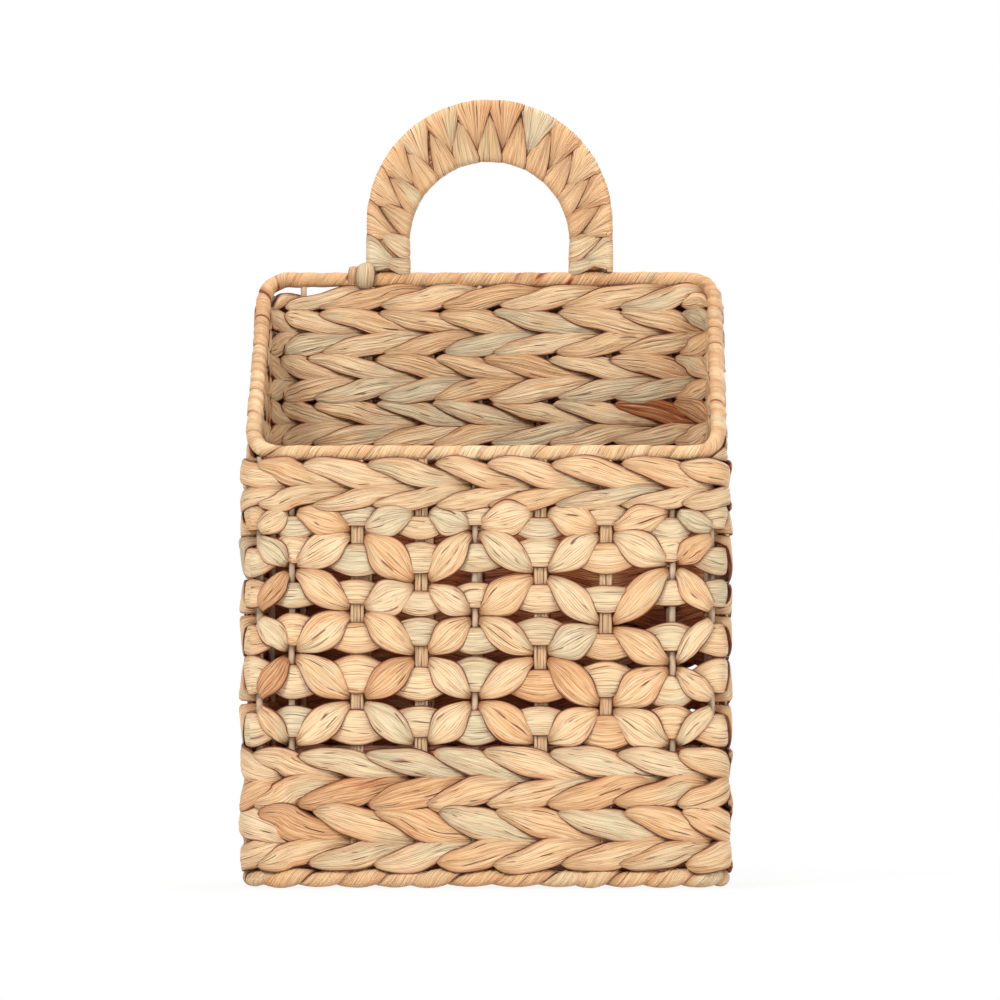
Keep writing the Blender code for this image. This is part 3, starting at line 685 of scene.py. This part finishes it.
def wrap(node, slot, centre, outward, turn_lengths, radius, tones, seed, thickness, overlap, lift, crown,
         uneven, seam, rings=None):
    """A strand wound round a closed bar, each turn lapping the last. centre and outward run along the
    bar, and the first and last of them are the same. rings tells which turns end in a dark ring."""
    along = run_along(centre)
    total = along[-1]
    turns = len(turn_lengths)
    bounds = np.concatenate(((0.0,), np.cumsum(turn_lengths)))
    bounds *= total / bounds[-1]
    rng = np.random.default_rng(seed)
    turn = np.linspace(0.0, turns, turns * WRAP_TURN_RINGS + 1)
    share = np.linspace(0.0, 1.0, WRAP_ROUND + 1)
    angle = 2.0 * math.pi * share
    side = -np.cos(angle)
    face = np.sin(angle)
    half = carried(np.diff(bounds), turn - 0.5, 1.0) / 2 * overlap
    axial = np.interp(turn, np.arange(turns + 1), bounds)[:, None] + side * half[:, None]
    axial = np.mod(axial, total)
    phase = carried(rng.uniform(0.0, 1.0, turns), turn, 1.0)
    hump = np.abs(np.sin(math.pi * (7 * share[None, :] + phase[:, None]))) ** 0.8
    reach = radius + lift * (side + 1.0) / 2 + crown * (1.0 - side**2) + face * thickness / 2
    reach = reach + 0.00016 * (hump - 0.5) * np.maximum(face, 0.0)
    reach = reach + carried(rng.uniform(-1.0, 0.6, turns), turn, 1.0)[:, None] * uneven
    swing = 2.0 * math.pi * turn[:, None, None]
    place = sampled(axial, along, centre)
    way = unit(sampled(axial, along, outward))
    travel = unit(sampled(np.mod(axial + 0.001, total), along, centre) - place)
    way = unit(way - travel * np.sum(way * travel, axis=-1, keepdims=True))
    up = np.cross(way, travel)
    points = place + (way * np.cos(swing) + up * np.sin(swing)) * reach[..., None]
    points[-1] = points[0]
    points[:, -1] = points[:, 0]
    leaf = np.zeros(points.shape[:2] + (4,))
    leaf[..., 0] = carried(tones, turn, 6.0)[:, None]
    if rings is not None:
        ring = carried(rings, turn, 6.0)[:, None] * smooth((side - 0.55) / 0.25)
        leaf[..., 0] += (RIM_RING_TONE - leaf[..., 0]) * ring
    # Painted shade: browner and darker along each turn's edges, where it laps the next one
    leaf[..., 2] = seam * np.abs(side) ** 12
    # Painted shade in the valleys between the ridges of each turn
    leaf[..., 3] = 0.12 * np.clip(1.0 - hump * 2.0, 0.0, 1.0)
    rolled_piece(node + "_leaf", [(points, 2.0 * math.pi * radius * turns, leaf)], slot, node)


def rim_wrap():
    """The rim: a pinkish strand wound round wire and stake ends, in longer turns in front and behind."""
    level, outward = on_wall(np.linspace(0.0, WALL_LENGTH, WRAP_STEPS + 1))
    centre = level + UP * rim_height(level[:, 1])[:, None]
    rng = np.random.default_rng(51)
    along = run_along(centre)
    lengths, tones, rings = [], [], []
    run = 0.0
    while run < along[-1]:
        here = sampled(run, along, centre[:, :2])
        typical = RIM_TURN_LONG if abs(here[1]) > WALL_HALF_DEPTH * 0.9 else RIM_TURN_SHORT
        near_ring = any(math.dist(here, place) < RIM_RING_NEAR for place in RIM_RINGS)
        rings.append(1.0 if near_ring and not any(rings[-1:]) else 0.0)
        lengths.append(typical * rng.uniform(0.75, 1.25))
        middle = 0.47 + 0.12 * float(smooth((here[1] + 0.02) / 0.06)) + (0.07 if here[0] > 0.11 else 0.0)
        tones.append(float(np.clip(rng.normal(middle, 0.035), 0.40, 0.64)))
        run += lengths[-1]
    wrap("rim_wrap", "rim_leaf", centre, outward, lengths, RIM_RADIUS, np.array(tones), 52,
         rings=np.array(rings), **RIM_TURNS)


def base_ring_wrap():
    """The base ring: a broad strand wound round the bottom wire, each turn bulging a little."""
    low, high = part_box("base_ring_wrap")
    radius = (high.z - low.z) / 2
    distance = np.linspace(0.0, WALL_LENGTH, WRAP_STEPS + 1)
    centre, outward = on_wall(distance, BASE_RING_OUT, low.z + radius + BASE_RING_UP)
    rng = np.random.default_rng(61)
    lengths = rng.uniform(*BASE_RING_TURN_LENGTHS)
    tones = np.clip(rng.normal(0.50, 0.05, len(lengths)), 0.15, 0.62)
    wrap("base_ring_wrap", "base_ring_leaf", centre, outward, lengths, radius - BASE_RING_INSET, tones, 62,
         **BASE_RING_TURNS)


def handle_wrap():
    """The strand bound round the handle's two arches. Its lobes lie side by side on each arch, and their
    tips run across the handle in between those of the other arch, over a plain layer underneath."""
    low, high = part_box("handle_outer_wire")
    _, inner_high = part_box("handle_inner_wire")
    outer_radius = high.x - HANDLE_WIRE
    inner_radius = inner_high.x - HANDLE_WIRE
    y = (low.y + high.y) / 2

    def arch(share, radius, spring):
        leg = spring - low.z
        length = 2 * leg + math.pi * radius
        run = share * length
        angle = math.pi - np.clip((run - leg) / radius, 0.0, math.pi)
        x = np.cos(angle) * radius
        arc = np.where(run > length - leg, length - leg - run, np.sin(angle) * radius)
        return np.stack((x, np.full_like(x, y), spring + np.where(run < leg, run - leg, arc)), axis=-1)

    def carried_over(points):
        """From along, across and out of the handle's flat to its place between the two arches."""
        share = points[..., 0] / HANDLE_LENGTH
        outer = arch(share, outer_radius, high.z - HANDLE_WIRE - outer_radius)
        inner = arch(share, inner_radius, inner_high.z - HANDLE_WIRE - inner_radius)
        between = outer - inner
        gap = np.linalg.norm(between, axis=-1)
        across = points[..., 1]
        beyond = np.maximum(np.abs(across) - HANDLE_HALF_GAP, 0.0) * np.sign(across)
        within = np.clip(across, -HANDLE_HALF_GAP, HANDLE_HALF_GAP) / HANDLE_HALF_GAP * gap / 2
        return (outer + inner) / 2 + unit(between) * (within + beyond)[..., None] - BACKWARD * points[..., 2:]

    rng = np.random.default_rng(71)
    pitch = HANDLE_LENGTH / HANDLE_LOBES
    places = [(number + 0.5, False, 1.0) for number in range(HANDLE_LOBES)]
    places += [(number + 1.0, True, 1.0) for number in range(HANDLE_LOBES - 1)]
    places += [(place, True, HANDLE_END_SIZE) for place in (HANDLE_END_LOBE, HANDLE_LOBES - HANDLE_END_LOBE)]
    sheets = []
    for number, (place, inward, size) in enumerate(sorted(places)):
        slip, wide, skew, back_skew = rng.uniform(-1.0, 1.0, 4)
        tips = HANDLE_TIP + rng.uniform(-0.0016, 0.0010, 2)
        lean = HANDLE_LEAN * (place / HANDLE_LOBES * 2.0 - 1.0) * (-1.0 if inward else 1.0)
        skews = (lean + HANDLE_SKEW * skew, -lean + HANDLE_SKEW * back_skew)
        tone = HANDLE_TONES.get(number, float(np.clip(rng.normal(0.54, 0.035), 0.46, 0.61)))
        widest = pitch / 2 * HANDLE_OVERLAP * size * (1.0 + 0.06 * wide)
        middle = (place + slip * 0.04 * (size == 1.0)) * pitch
        points, length, leaf = handle_petal(middle, inward, widest, tips, skews, tone, 7000 + number)
        sheets.append((carried_over(points), length, leaf))
    run = np.linspace(0.0, HANDLE_LENGTH, 150)
    full = np.full_like(run, HANDLE_UNDER_HALF)
    full[[0, -1]] = 0.0
    # The plain layer underneath, in a darker tone as painted shade between the lobes' tips
    points, length, leaf = rolled(run[:, None] * ACROSS, np.tile(UP, (len(run), 1)), full,
                                  full * HANDLE_UNDER_DEPTH, (HANDLE_UNDER_SHADE_TONE, HANDLE_UNDER_SHADE_TONE), 7100,
                                  run / pitch, ridge=0.0001, around=24, flat=0.45)
    sheets.append((carried_over(points), length, leaf))
    rolled_piece("handle_wrap_leaf", sheets, "handle_leaf", "handle_wrap")


def add_node(tree, kind, inputs=None, **settings):
    """A node with its settings and inputs; an input is a value or another node's output."""
    made = tree.nodes.new(kind)
    for name, value in settings.items():
        setattr(made, name, value)
    for name, value in (inputs or {}).items():
        if isinstance(value, bpy.types.NodeSocket):
            tree.links.new(value, made.inputs[name])
        else:
            made.inputs[name].default_value = value
    return made


def sums(tree, operation, first, *others):
    """One value worked out from several, two at a time."""
    for other in others:
        first = add_node(tree, "ShaderNodeMath", {0: first, 1: other}, operation=operation).outputs[0]
    return first


def mixed(tree, share, first, second):
    return add_node(tree, "ShaderNodeMix", {0: share, 6: first, 7: second}, data_type="RGBA").outputs[2]


def ranged(tree, value, low, high, to_low, to_high):
    names = {"Value": value, "From Min": low, "From Max": high, "To Min": to_low, "To Max": to_high}
    return add_node(tree, "ShaderNodeMapRange", names, interpolation_type="SMOOTHSTEP").outputs[0]


def linear(red, green, blue):
    """A colour picked as it looks on screen, 0 to 255, for a shader."""
    values = [part / 255.0 for part in (red, green, blue)]
    return tuple(v / 12.92 if v <= 0.04045 else ((v + 0.055) / 1.055) ** 2.4 for v in values) + (1.0,)


# The dark end of this scale serves both the leaf's browner lobes and the painted shade of the inside and
# hidden-side tones
TONES = (
    (0.00, linear(188, 178, 146)),
    (0.18, linear(222, 205, 167)),
    (0.36, linear(245, 213, 169)),
    (0.50, linear(236, 191, 140)),
    (0.64, linear(222, 168, 116)),
    (0.80, linear(178, 100, 54)),
    (1.00, linear(84, 24, 12)),
)


def leaf_group():
    """Dried leaf: a tone that drifts along the strand, fine fibres that run with it, pale lines that are partly
    painted highlight, a few strong creases and crinkles across it. Painted shade darkens the folds and browns
    the edges where strands meet and the pinches, partly as the leaf's own browner edges and creases."""
    group = bpy.data.node_groups.new("dried_leaf", "ShaderNodeTree")
    face = group.interface
    for name, kind, value in (
        ("Tone", "NodeSocketFloat", 0.4),
        ("Pinch", "NodeSocketFloat", 0.0),
        ("Edge", "NodeSocketFloat", 0.0),
        ("Shade", "NodeSocketFloat", 0.0),
        ("Strand", "NodeSocketVector", (0.0, 0.0, 0.0)),
        ("Fibres", "NodeSocketFloat", 26.0),
        ("Lines", "NodeSocketFloat", 1.0),
    ):
        face.new_socket(name, in_out="INPUT", socket_type=kind).default_value = value
    face.new_socket("Color", in_out="OUTPUT", socket_type="NodeSocketColor")
    for name in ("Roughness", "Height"):
        face.new_socket(name, in_out="OUTPUT", socket_type="NodeSocketFloat")
    given = group.nodes.new("NodeGroupInput").outputs
    along = add_node(group, "ShaderNodeSeparateXYZ", {0: given["Strand"]})

    def times(*factors):
        return sums(group, "MULTIPLY", *factors)

    def plus(*terms):
        return sums(group, "ADD", *terms)

    def streaks(run, across, detail, shift):
        """Noise drawn out along the strand: run and across are cells a metre and cells round it."""
        vector = add_node(group, "ShaderNodeCombineXYZ", {
            0: times(along.outputs[0], run), 1: times(along.outputs[1], across), 2: shift}).outputs[0]
        values = {"Vector": vector, "Scale": 1.0, "Detail": detail, "Roughness": 0.55}
        return add_node(group, "ShaderNodeTexNoise", values).outputs[0]

    def lines(number, wander, width, shift):
        """Long thin lines that run with the strand, so many round it, and wander a little."""
        sway = times(streaks(15.0, 2.5, 2.0, shift), wander)
        off = sums(group, "PINGPONG", plus(times(along.outputs[1], number), sway), 0.5)
        return ranged(group, off, 0.0, width, 1.0, 0.0)

    def around_half(value, strength):
        return times(sums(group, "SUBTRACT", value, 0.5), strength)

    patches = streaks(24.0, 1.8, 2.0, 3.1)
    green = streaks(26.0, 1.8, 1.0, 41.7)
    warmth = streaks(34.0, 5.0, 2.0, 23.5)
    broken = streaks(70.0, 7.0, 1.0, 71.1)
    pleats = streaks(12.0, times(given["Fibres"], 0.55), 1.0, 29.3)
    fibres = streaks(95.0, times(given["Fibres"], 1.8), 2.0, 7.7)
    crinkle = streaks(420.0, times(given["Fibres"], 0.7), 2.0, 53.9)
    worn = streaks(60.0, times(given["Fibres"], 0.6), 1.0, 83.9)
    fine = times(lines(given["Fibres"], 5.0, 0.30, 17.9), ranged(group, worn, 0.38, 0.62, 0.04, 1.0))
    # Pale lines along the fibres: partly the leaf's own pale fibres, partly painted highlight on its pleats
    pale_fibres_and_highlight = lines(times(given["Fibres"], 0.62), 6.0, 0.34, 61.3)
    strong = lines(times(given["Fibres"], 0.24), 4.0, 0.10, 11.3)
    strong = times(strong, ranged(group, broken, 0.53, 0.64, 0.03, 1.0), given["Lines"])
    tone = plus(given["Tone"], around_half(patches, 0.34), around_half(fibres, 0.40), around_half(pleats, 0.26))
    ramp = add_node(group, "ShaderNodeValToRGB", {0: tone})
    elements = ramp.color_ramp.elements
    while len(elements) < len(TONES):
        elements.new(0.5)
    for element, (place, colour) in zip(elements, TONES):
        element.position = place
        element.color = colour
    pale = ranged(group, tone, 0.70, 0.88, 1.0, 0.0)
    seam = ranged(group, given["Edge"], 0.16, 0.62, 0.0, 1.0)
    colour = ramp.outputs[0]
    for share, over in (
        (ranged(group, green, 0.57, 0.72, 0.0, 0.62), (209, 196, 158)),
        (ranged(group, warmth, 0.54, 0.74, 0.0, 0.50), (226, 166, 102)),
        (times(pale_fibres_and_highlight, 0.32, pale), (255, 234, 198)),
        (times(fine, 0.62, given["Lines"], pale), (182, 98, 40)),
        (times(strong, 0.92), (104, 36, 10)),
        # Painted shade, red-brown, from the leaf values' alpha
        (times(given["Shade"], 0.85), (138, 66, 28)),
        # Painted shade where strands meet: an orange-brown band by each edge, partly the leaf's own browner
        # edge, and a dark red-brown line at the very edge
        (times(sums(group, "POWER", given["Edge"], 0.36), 0.52), (206, 106, 38)),
        (times(seam, ranged(group, broken, 0.36, 0.60, 0.72, 1.0)), (92, 28, 8)),
        # Browner at pinches: partly crease colour, partly painted shade
        (times(given["Pinch"], ranged(group, pale_fibres_and_highlight, 0.0, 1.0, 0.38, 0.95)), (190, 104, 42)),
    ):
        colour = mixed(group, share, colour, linear(*over))
    rough = plus(0.52, times(plus(strong, fine), 0.14))
    rough.node.use_clamp = True
    height = plus(times(fibres, 0.85), times(pleats, 2.3), times(crinkle, 0.30), times(strong, -0.9),
                  times(fine, -0.35))
    add_node(group, "NodeGroupOutput", {"Color": colour, "Roughness": rough, "Height": height})
    return group


def new_material(name):
    material = bpy.data.materials.new(name)
    material.use_nodes = True
    return material, material.node_tree


def finished(tree, colour, rough, height, bump):
    """Gives a material's shader its colour, roughness and relief."""
    shader = tree.nodes["Principled BSDF"]
    strength, distance = bump
    relief = add_node(tree, "ShaderNodeBump", {"Height": height, "Strength": strength, "Distance": distance})
    tree.links.new(colour, shader.inputs["Base Color"])
    tree.links.new(rough, shader.inputs["Roughness"])
    tree.links.new(relief.outputs[0], shader.inputs["Normal"])
    return shader


def leaf_material(name, group, fibres, lines):
    material, tree = new_material(name)
    values = add_node(tree, "ShaderNodeAttribute", attribute_name="leaf")
    parts = add_node(tree, "ShaderNodeSeparateColor", {0: values.outputs["Color"]})
    strand = add_node(tree, "ShaderNodeUVMap", uv_map="strand")
    leaf = add_node(tree, "ShaderNodeGroup", node_tree=group)
    for name_in, socket in (("Tone", parts.outputs[0]), ("Pinch", parts.outputs[1]), ("Edge", parts.outputs[2]),
                            ("Shade", values.outputs["Alpha"]), ("Strand", strand.outputs[0])):
        tree.links.new(socket, leaf.inputs[name_in])
    leaf.inputs["Fibres"].default_value = fibres
    leaf.inputs["Lines"].default_value = lines
    colour, rough, height = (leaf.outputs[name_out] for name_out in ("Color", "Roughness", "Height"))
    finished(tree, colour, rough, height, LEAF_BUMP).inputs["Specular IOR Level"].default_value = LEAF_GLOSS
    return material


def wire_material():
    """Beige paint on steel wire: small runs and specks in it."""
    material, tree = new_material("painted_wire")
    place = add_node(tree, "ShaderNodeTexCoord").outputs["Object"]
    stretch = add_node(tree, "ShaderNodeMapping", {"Vector": place, "Scale": (1.0, 1.0, 0.25)}).outputs[0]
    cloud = add_node(tree, "ShaderNodeTexNoise", {"Vector": stretch, "Scale": 260.0, "Detail": 3.0}).outputs[0]
    speck = add_node(tree, "ShaderNodeTexNoise", {"Vector": place, "Scale": 1400.0, "Detail": 1.0}).outputs[0]
    colour = mixed(tree, ranged(tree, cloud, 0.3, 0.7, 0.0, 1.0), linear(184, 158, 130), linear(212, 186, 156))
    colour = mixed(tree, ranged(tree, speck, 0.62, 0.72, 0.0, 0.5), colour, linear(150, 122, 98))
    finished(tree, colour, ranged(tree, cloud, 0.3, 0.7, 0.38, 0.52), cloud, WIRE_BUMP)
    return material


def make_materials():
    group = leaf_group()
    made = {slot: leaf_material(slot, group, *values) for slot, values in LEAF_FINISHES.items()}
    made["painted_wire"] = wire_material()
    return made


MATERIALS = make_materials()


def handle_knot():
    """The tie at the handle's left foot: the strand's end drawn down over the rim in a round lump, with a
    turn round the rim beside it."""
    low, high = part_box("left_handle_knot")
    centre = np.array(((low.x + high.x) / 2, (low.y + high.y) / 2, (low.z + high.z) / 2))
    sheets = []
    for shift, turned, reach, width, depth, tone, seed in (
        (0.0054, 1.30, 0.0050, 0.0052, 0.0028, 0.22, 91),
        (-0.0008, 1.90, 0.0042, 0.0030, 0.0006, 0.60, 92),
    ):
        turn = np.linspace(-1.0, 1.0, 61)
        angle = turn * math.pi / 2 * turned
        loop = (shift + 0.0010 * turn, -np.cos(angle) * reach, np.sin(angle) * reach * 1.18)
        path = centre + np.stack(loop, axis=-1)
        outward = np.stack((np.zeros_like(turn), -np.cos(angle), np.sin(angle)), axis=-1)
        taper = np.clip(1.0 - turn**2, 0.0, 1.0) ** (0.9 if shift > 0.0 else 0.5)
        # Browner towards the ends: partly crease colour, partly painted shade
        sheets.append(rolled(path, outward, width * taper, depth * taper, (tone, tone), seed,
                             pinch=np.abs(turn) ** 3, ridge=0.0002, around=32, ridges=(7, 11)))
    rolled_piece("left_handle_knot_leaf", sheets, "handle_leaf", "left_handle_knot")


def base_strands():
    """The bottom: a strand laced front to back and one laced across it, over and under by turns."""
    low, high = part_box("base_warp")
    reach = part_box("base_weft")[1].x * BASE_REACH
    level = (low.z + high.z) / 2
    front = [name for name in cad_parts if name.startswith("front_") and "stake" in name]
    columns = sorted(middle_of(name).x for name in front)
    end = high.y - BASE_END_INSET
    warp = []
    for number, x in enumerate(columns):
        sign = 1 if number % 2 == 0 else -1
        warp += [(x, -end * sign, level), (x, end * sign, level)]
    field = end - BASE_ROW_INSET
    pitch = 2 * field / BASE_ROWS
    weft = []
    for row in range(BASE_ROWS):
        y = -field + pitch * (row + 0.5)
        sign = 1 if row % 2 == 0 else -1
        weft.append((-reach * sign, y, level))
        for number, x in list(enumerate(columns))[::sign]:
            over = 1 if (number + row) % 2 == 0 else -1
            weft.append((x, y, level + over * BASE_OVER))
        weft.append((reach * sign, y, level))
    for name, route, width, turns_along, seed in (
        ("base_warp", warp, BASE_WARP_HALF, 0, 81), ("base_weft", weft, pitch / 2 * BASE_WEFT_SHARE, 1, 82),
    ):
        route = np.array(route)
        along = run_along(route)
        place = np.linspace(0.0, along[-1], rings_for(along[-1], BASE_STEP))
        path = sampled(place, along, route)
        for _ in range(3):
            path[1:-1] = (path[:-2] + path[1:-1] * 2 + path[2:]) / 4
        turned = np.abs(unit(np.gradient(path, axis=0))[:, turns_along])
        lobes = place / BASE_LOBE
        tones = lobe_tones(np.random.default_rng(seed), count=60, middle=0.45, spread=0.08, odd=0.1)
        tone = carried(tones, lobes, 2.0)
        ends = smooth(np.minimum(place, along[-1] - place) / BASE_TAPER)
        half_width = width * (1.0 - 0.45 * np.clip(turned, 0.0, 1.0)) * ends
        sheet = rolled(path, np.tile(UP, (len(path), 1)), half_width, BASE_HALF_THICKNESS * ends, (tone, tone),
                       seed, lobes, 0.1, ridge=0.00022, around=28, ridges=(5, 9))
        rolled_piece(name + "_leaf", [sheet], "base_leaf", name)


def star_lifts():
    """How far each crossing of the openwork lies above its even place, by level and stake: worked by
    hand, no two are alike. Those in the front are as the photograph shows them."""
    lifts = np.random.default_rng(17).normal(0.0, STAR_SPREAD, (7, STAKE_COUNT))
    lifts[(0, 6), :] *= 0.3
    for (level, stake), lift in STAR_LIFTS.items():
        lifts[level, stake] = lift * 0.001
    return lifts


def stars_of(number):
    """For a band of the openwork: which stakes have their crossing at its top, and how far it is lifted."""
    lifts = star_lifts()
    raised = np.array([(index + number) % 2 == 0 for index in range(STAKE_COUNT)])
    return raised, np.where(raised, lifts[number - 1], lifts[number])


def back_sag(distance, height):
    """The openwork hangs a little lower in the back than in the front, most in its middle."""
    level, _ = on_wall(distance)
    low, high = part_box("zigzag_strand_6")[0].z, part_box("zigzag_strand_1")[1].z
    share = np.clip((height - low) / (high - low), 0.0, 1.0)
    return -BACK_SAG * smooth(level[:, 1] / BACK_FADE) * np.sin(math.pi * share)


def back_fill(distance):
    """The openwork's strands are laid broader in the back, where they lie against the wall."""
    level, _ = on_wall(distance)
    return 1.0 + BACK_FILL * smooth(level[:, 1] / BACK_FADE)


def handle_petal(place, inward, widest, tips, skews, tone, seed):
    """One lobe of the handle's wrap: a strand folded over one wire, front and back, that narrows to a tip
    on each side. place is how far along the handle it lies; tips are how far across they reach."""
    wire = HANDLE_HALF_GAP
    bend = np.linspace(math.pi / 2, -math.pi / 2, 13)[1:-1]
    line = np.linspace(0.0, 1.0, 24)
    front = -tips[0] + (wire + tips[0]) * line
    back = wire - (wire + tips[1]) * line
    reach = np.concatenate((front, wire + HANDLE_REACH * np.cos(bend), back))
    rise = HANDLE_UNDER + (HANDLE_LIFT - HANDLE_UNDER) * smooth(line * 2.2)
    deep = np.concatenate((rise, HANDLE_LIFT * np.sin(bend), -rise[::-1]))
    narrow = np.clip((front + tips[0]) / (HANDLE_FULL_FROM + tips[0]), 0.0, 1.0)
    narrow_back = np.clip((back + tips[1]) / (HANDLE_FULL_FROM + tips[1]), 0.0, 1.0)
    width = np.concatenate((narrow, np.ones_like(bend), narrow_back))
    shift = np.concatenate((skews[0] * (1.0 - line), np.zeros_like(bend), skews[1] * line))
    tilt = HANDLE_SHINGLE * np.concatenate((1.0 - 0.8 * line, 0.2 * np.ones_like(bend), 0.2 + 0.8 * line))
    sign = -1.0 if inward else 1.0
    path = np.stack((place + shift, reach * sign, deep), axis=-1)
    travel = unit(np.gradient(path, axis=0))
    face = unit(np.cross(ACROSS, travel) * sign - ACROSS * tilt[:, None])
    ends = np.ones_like(reach)
    ends[[0, -1]] = 0.0
    half_width = (HANDLE_NECK + (widest - HANDLE_NECK) * width) * ends
    thickness = HANDLE_HALF_THICKNESS * (0.7 + 0.3 * width) * ends
    # Browner towards the tips: partly crease colour, partly painted shade
    return rolled(path, face, half_width, thickness, (tone, tone), seed, pinch=0.6 * (1.0 - width) ** 4,
                  ridge=0.00024, around=HANDLE_ROUND, ridges=(8, 15), flat=0.55)


def make_basket():
    rows = [f"lower_row_{number}" for number in range(1, 5)] + ["upper_row_1", "upper_row_2"]
    rows += [f"back_row_{number}" for number in range(1, 9)]
    for index, name in enumerate(rows):
        number = int(name[-1])
        falls = number % 2 == 1 if name.startswith("back") else number % 2 == 0
        twined_row(name, falls, 100 + index, ACCENTS.get(name))
    for number in range(1, 7):
        for make, kind, seed in ((level_strand, "level_strand", 200), (zigzag_strand, "zigzag_strand", 300)):
            name = f"{kind}_{number}"
            make(name, number, seed + number, ACCENTS.get(name))
    for index, (_, name, kind) in enumerate(STAKES):
        if kind == "wire":
            round_wire(name)
        else:
            fibre_stake(name, 400 + index)
    rim_wrap()
    base_ring_wrap()
    handle_wrap()
    handle_knot()
    base_strands()
    for name in ("rim_wire", "base_ring_wire", "handle_outer_wire", "handle_inner_wire"):
        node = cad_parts[name]
        node.data.materials.clear()
        node.data.materials.append(MATERIALS["painted_wire"])


def seen_straight(tree):
    """1 for camera, glossy and transmission rays, 0 for all others."""
    path = add_node(tree, "ShaderNodeLightPath")
    rays = [path.outputs[f"Is {kind} Ray"] for kind in ("Camera", "Glossy", "Transmission")]
    return sums(tree, "MAXIMUM", *rays)


def white_floor():
    """White to the camera. Near the basket it keeps a little of its own shading, for the shadow."""
    material, tree = new_material("white_floor")
    tree.nodes.clear()
    diffuse = add_node(tree, "ShaderNodeBsdfDiffuse", {"Color": FLOOR_GREY})
    white = add_node(tree, "ShaderNodeEmission", {"Color": WHITE, "Strength": 1.0})
    place = add_node(tree, "ShaderNodeTexCoord").outputs["Object"]
    away = add_node(tree, "ShaderNodeVectorMath", {0: place}, operation="LENGTH").outputs["Value"]
    share = sums(tree, "MULTIPLY", seen_straight(tree), ranged(tree, away, *FLOOR_FADE, FLOOR_WHITE_NEAR, 1.0))
    both = add_node(tree, "ShaderNodeMixShader", {0: share, 1: diffuse.outputs[0], 2: white.outputs[0]})
    add_node(tree, "ShaderNodeOutputMaterial", {0: both.outputs[0]})
    return material


def make_stage():
    flat = bmesh.new()
    bmesh.ops.create_grid(flat, x_segments=1, y_segments=1, size=FLOOR_SIZE)
    mesh = bpy.data.meshes.new("floor")
    flat.to_mesh(mesh)
    flat.free()
    mesh.materials.append(white_floor())
    floor = placed("floor", mesh)


def aim(thing, place, target):
    way = Vector(target) - Vector(place)
    thing.location = place
    thing.rotation_euler = way.to_track_quat("-Z", "Y").to_euler()


def make_light():
    world = bpy.data.worlds.new("white_room")
    bpy.context.scene.world = world
    world.use_nodes = True
    tree = world.node_tree
    tree.nodes.clear()
    room = add_node(tree, "ShaderNodeBackground", {"Color": WHITE, "Strength": ROOM_LIGHT})
    seen = add_node(tree, "ShaderNodeBackground", {"Color": WHITE, "Strength": 1.0})
    direct = seen_straight(tree)
    both = add_node(tree, "ShaderNodeMixShader", {0: direct, 1: room.outputs[0], 2: seen.outputs[0]})
    add_node(tree, "ShaderNodeOutputWorld", {0: both.outputs[0]})
    for name, (place, width, power) in LAMPS.items():
        data = bpy.data.lights.new(name, "AREA")
        data.shape = "DISK"
        data.size = width
        data.energy = power
        aim(placed(name, data), place, LAMP_TARGET)


def make_camera():
    data = bpy.data.cameras.new("camera")
    data.lens = CAMERA_LENS
    camera = placed("camera", data)
    aim(camera, CAMERA_PLACE, CAMERA_TARGET)
    bpy.context.scene.camera = camera
    bpy.context.scene.view_settings.view_transform = "Standard"


make_basket()
make_stage()
make_light()
make_camera()
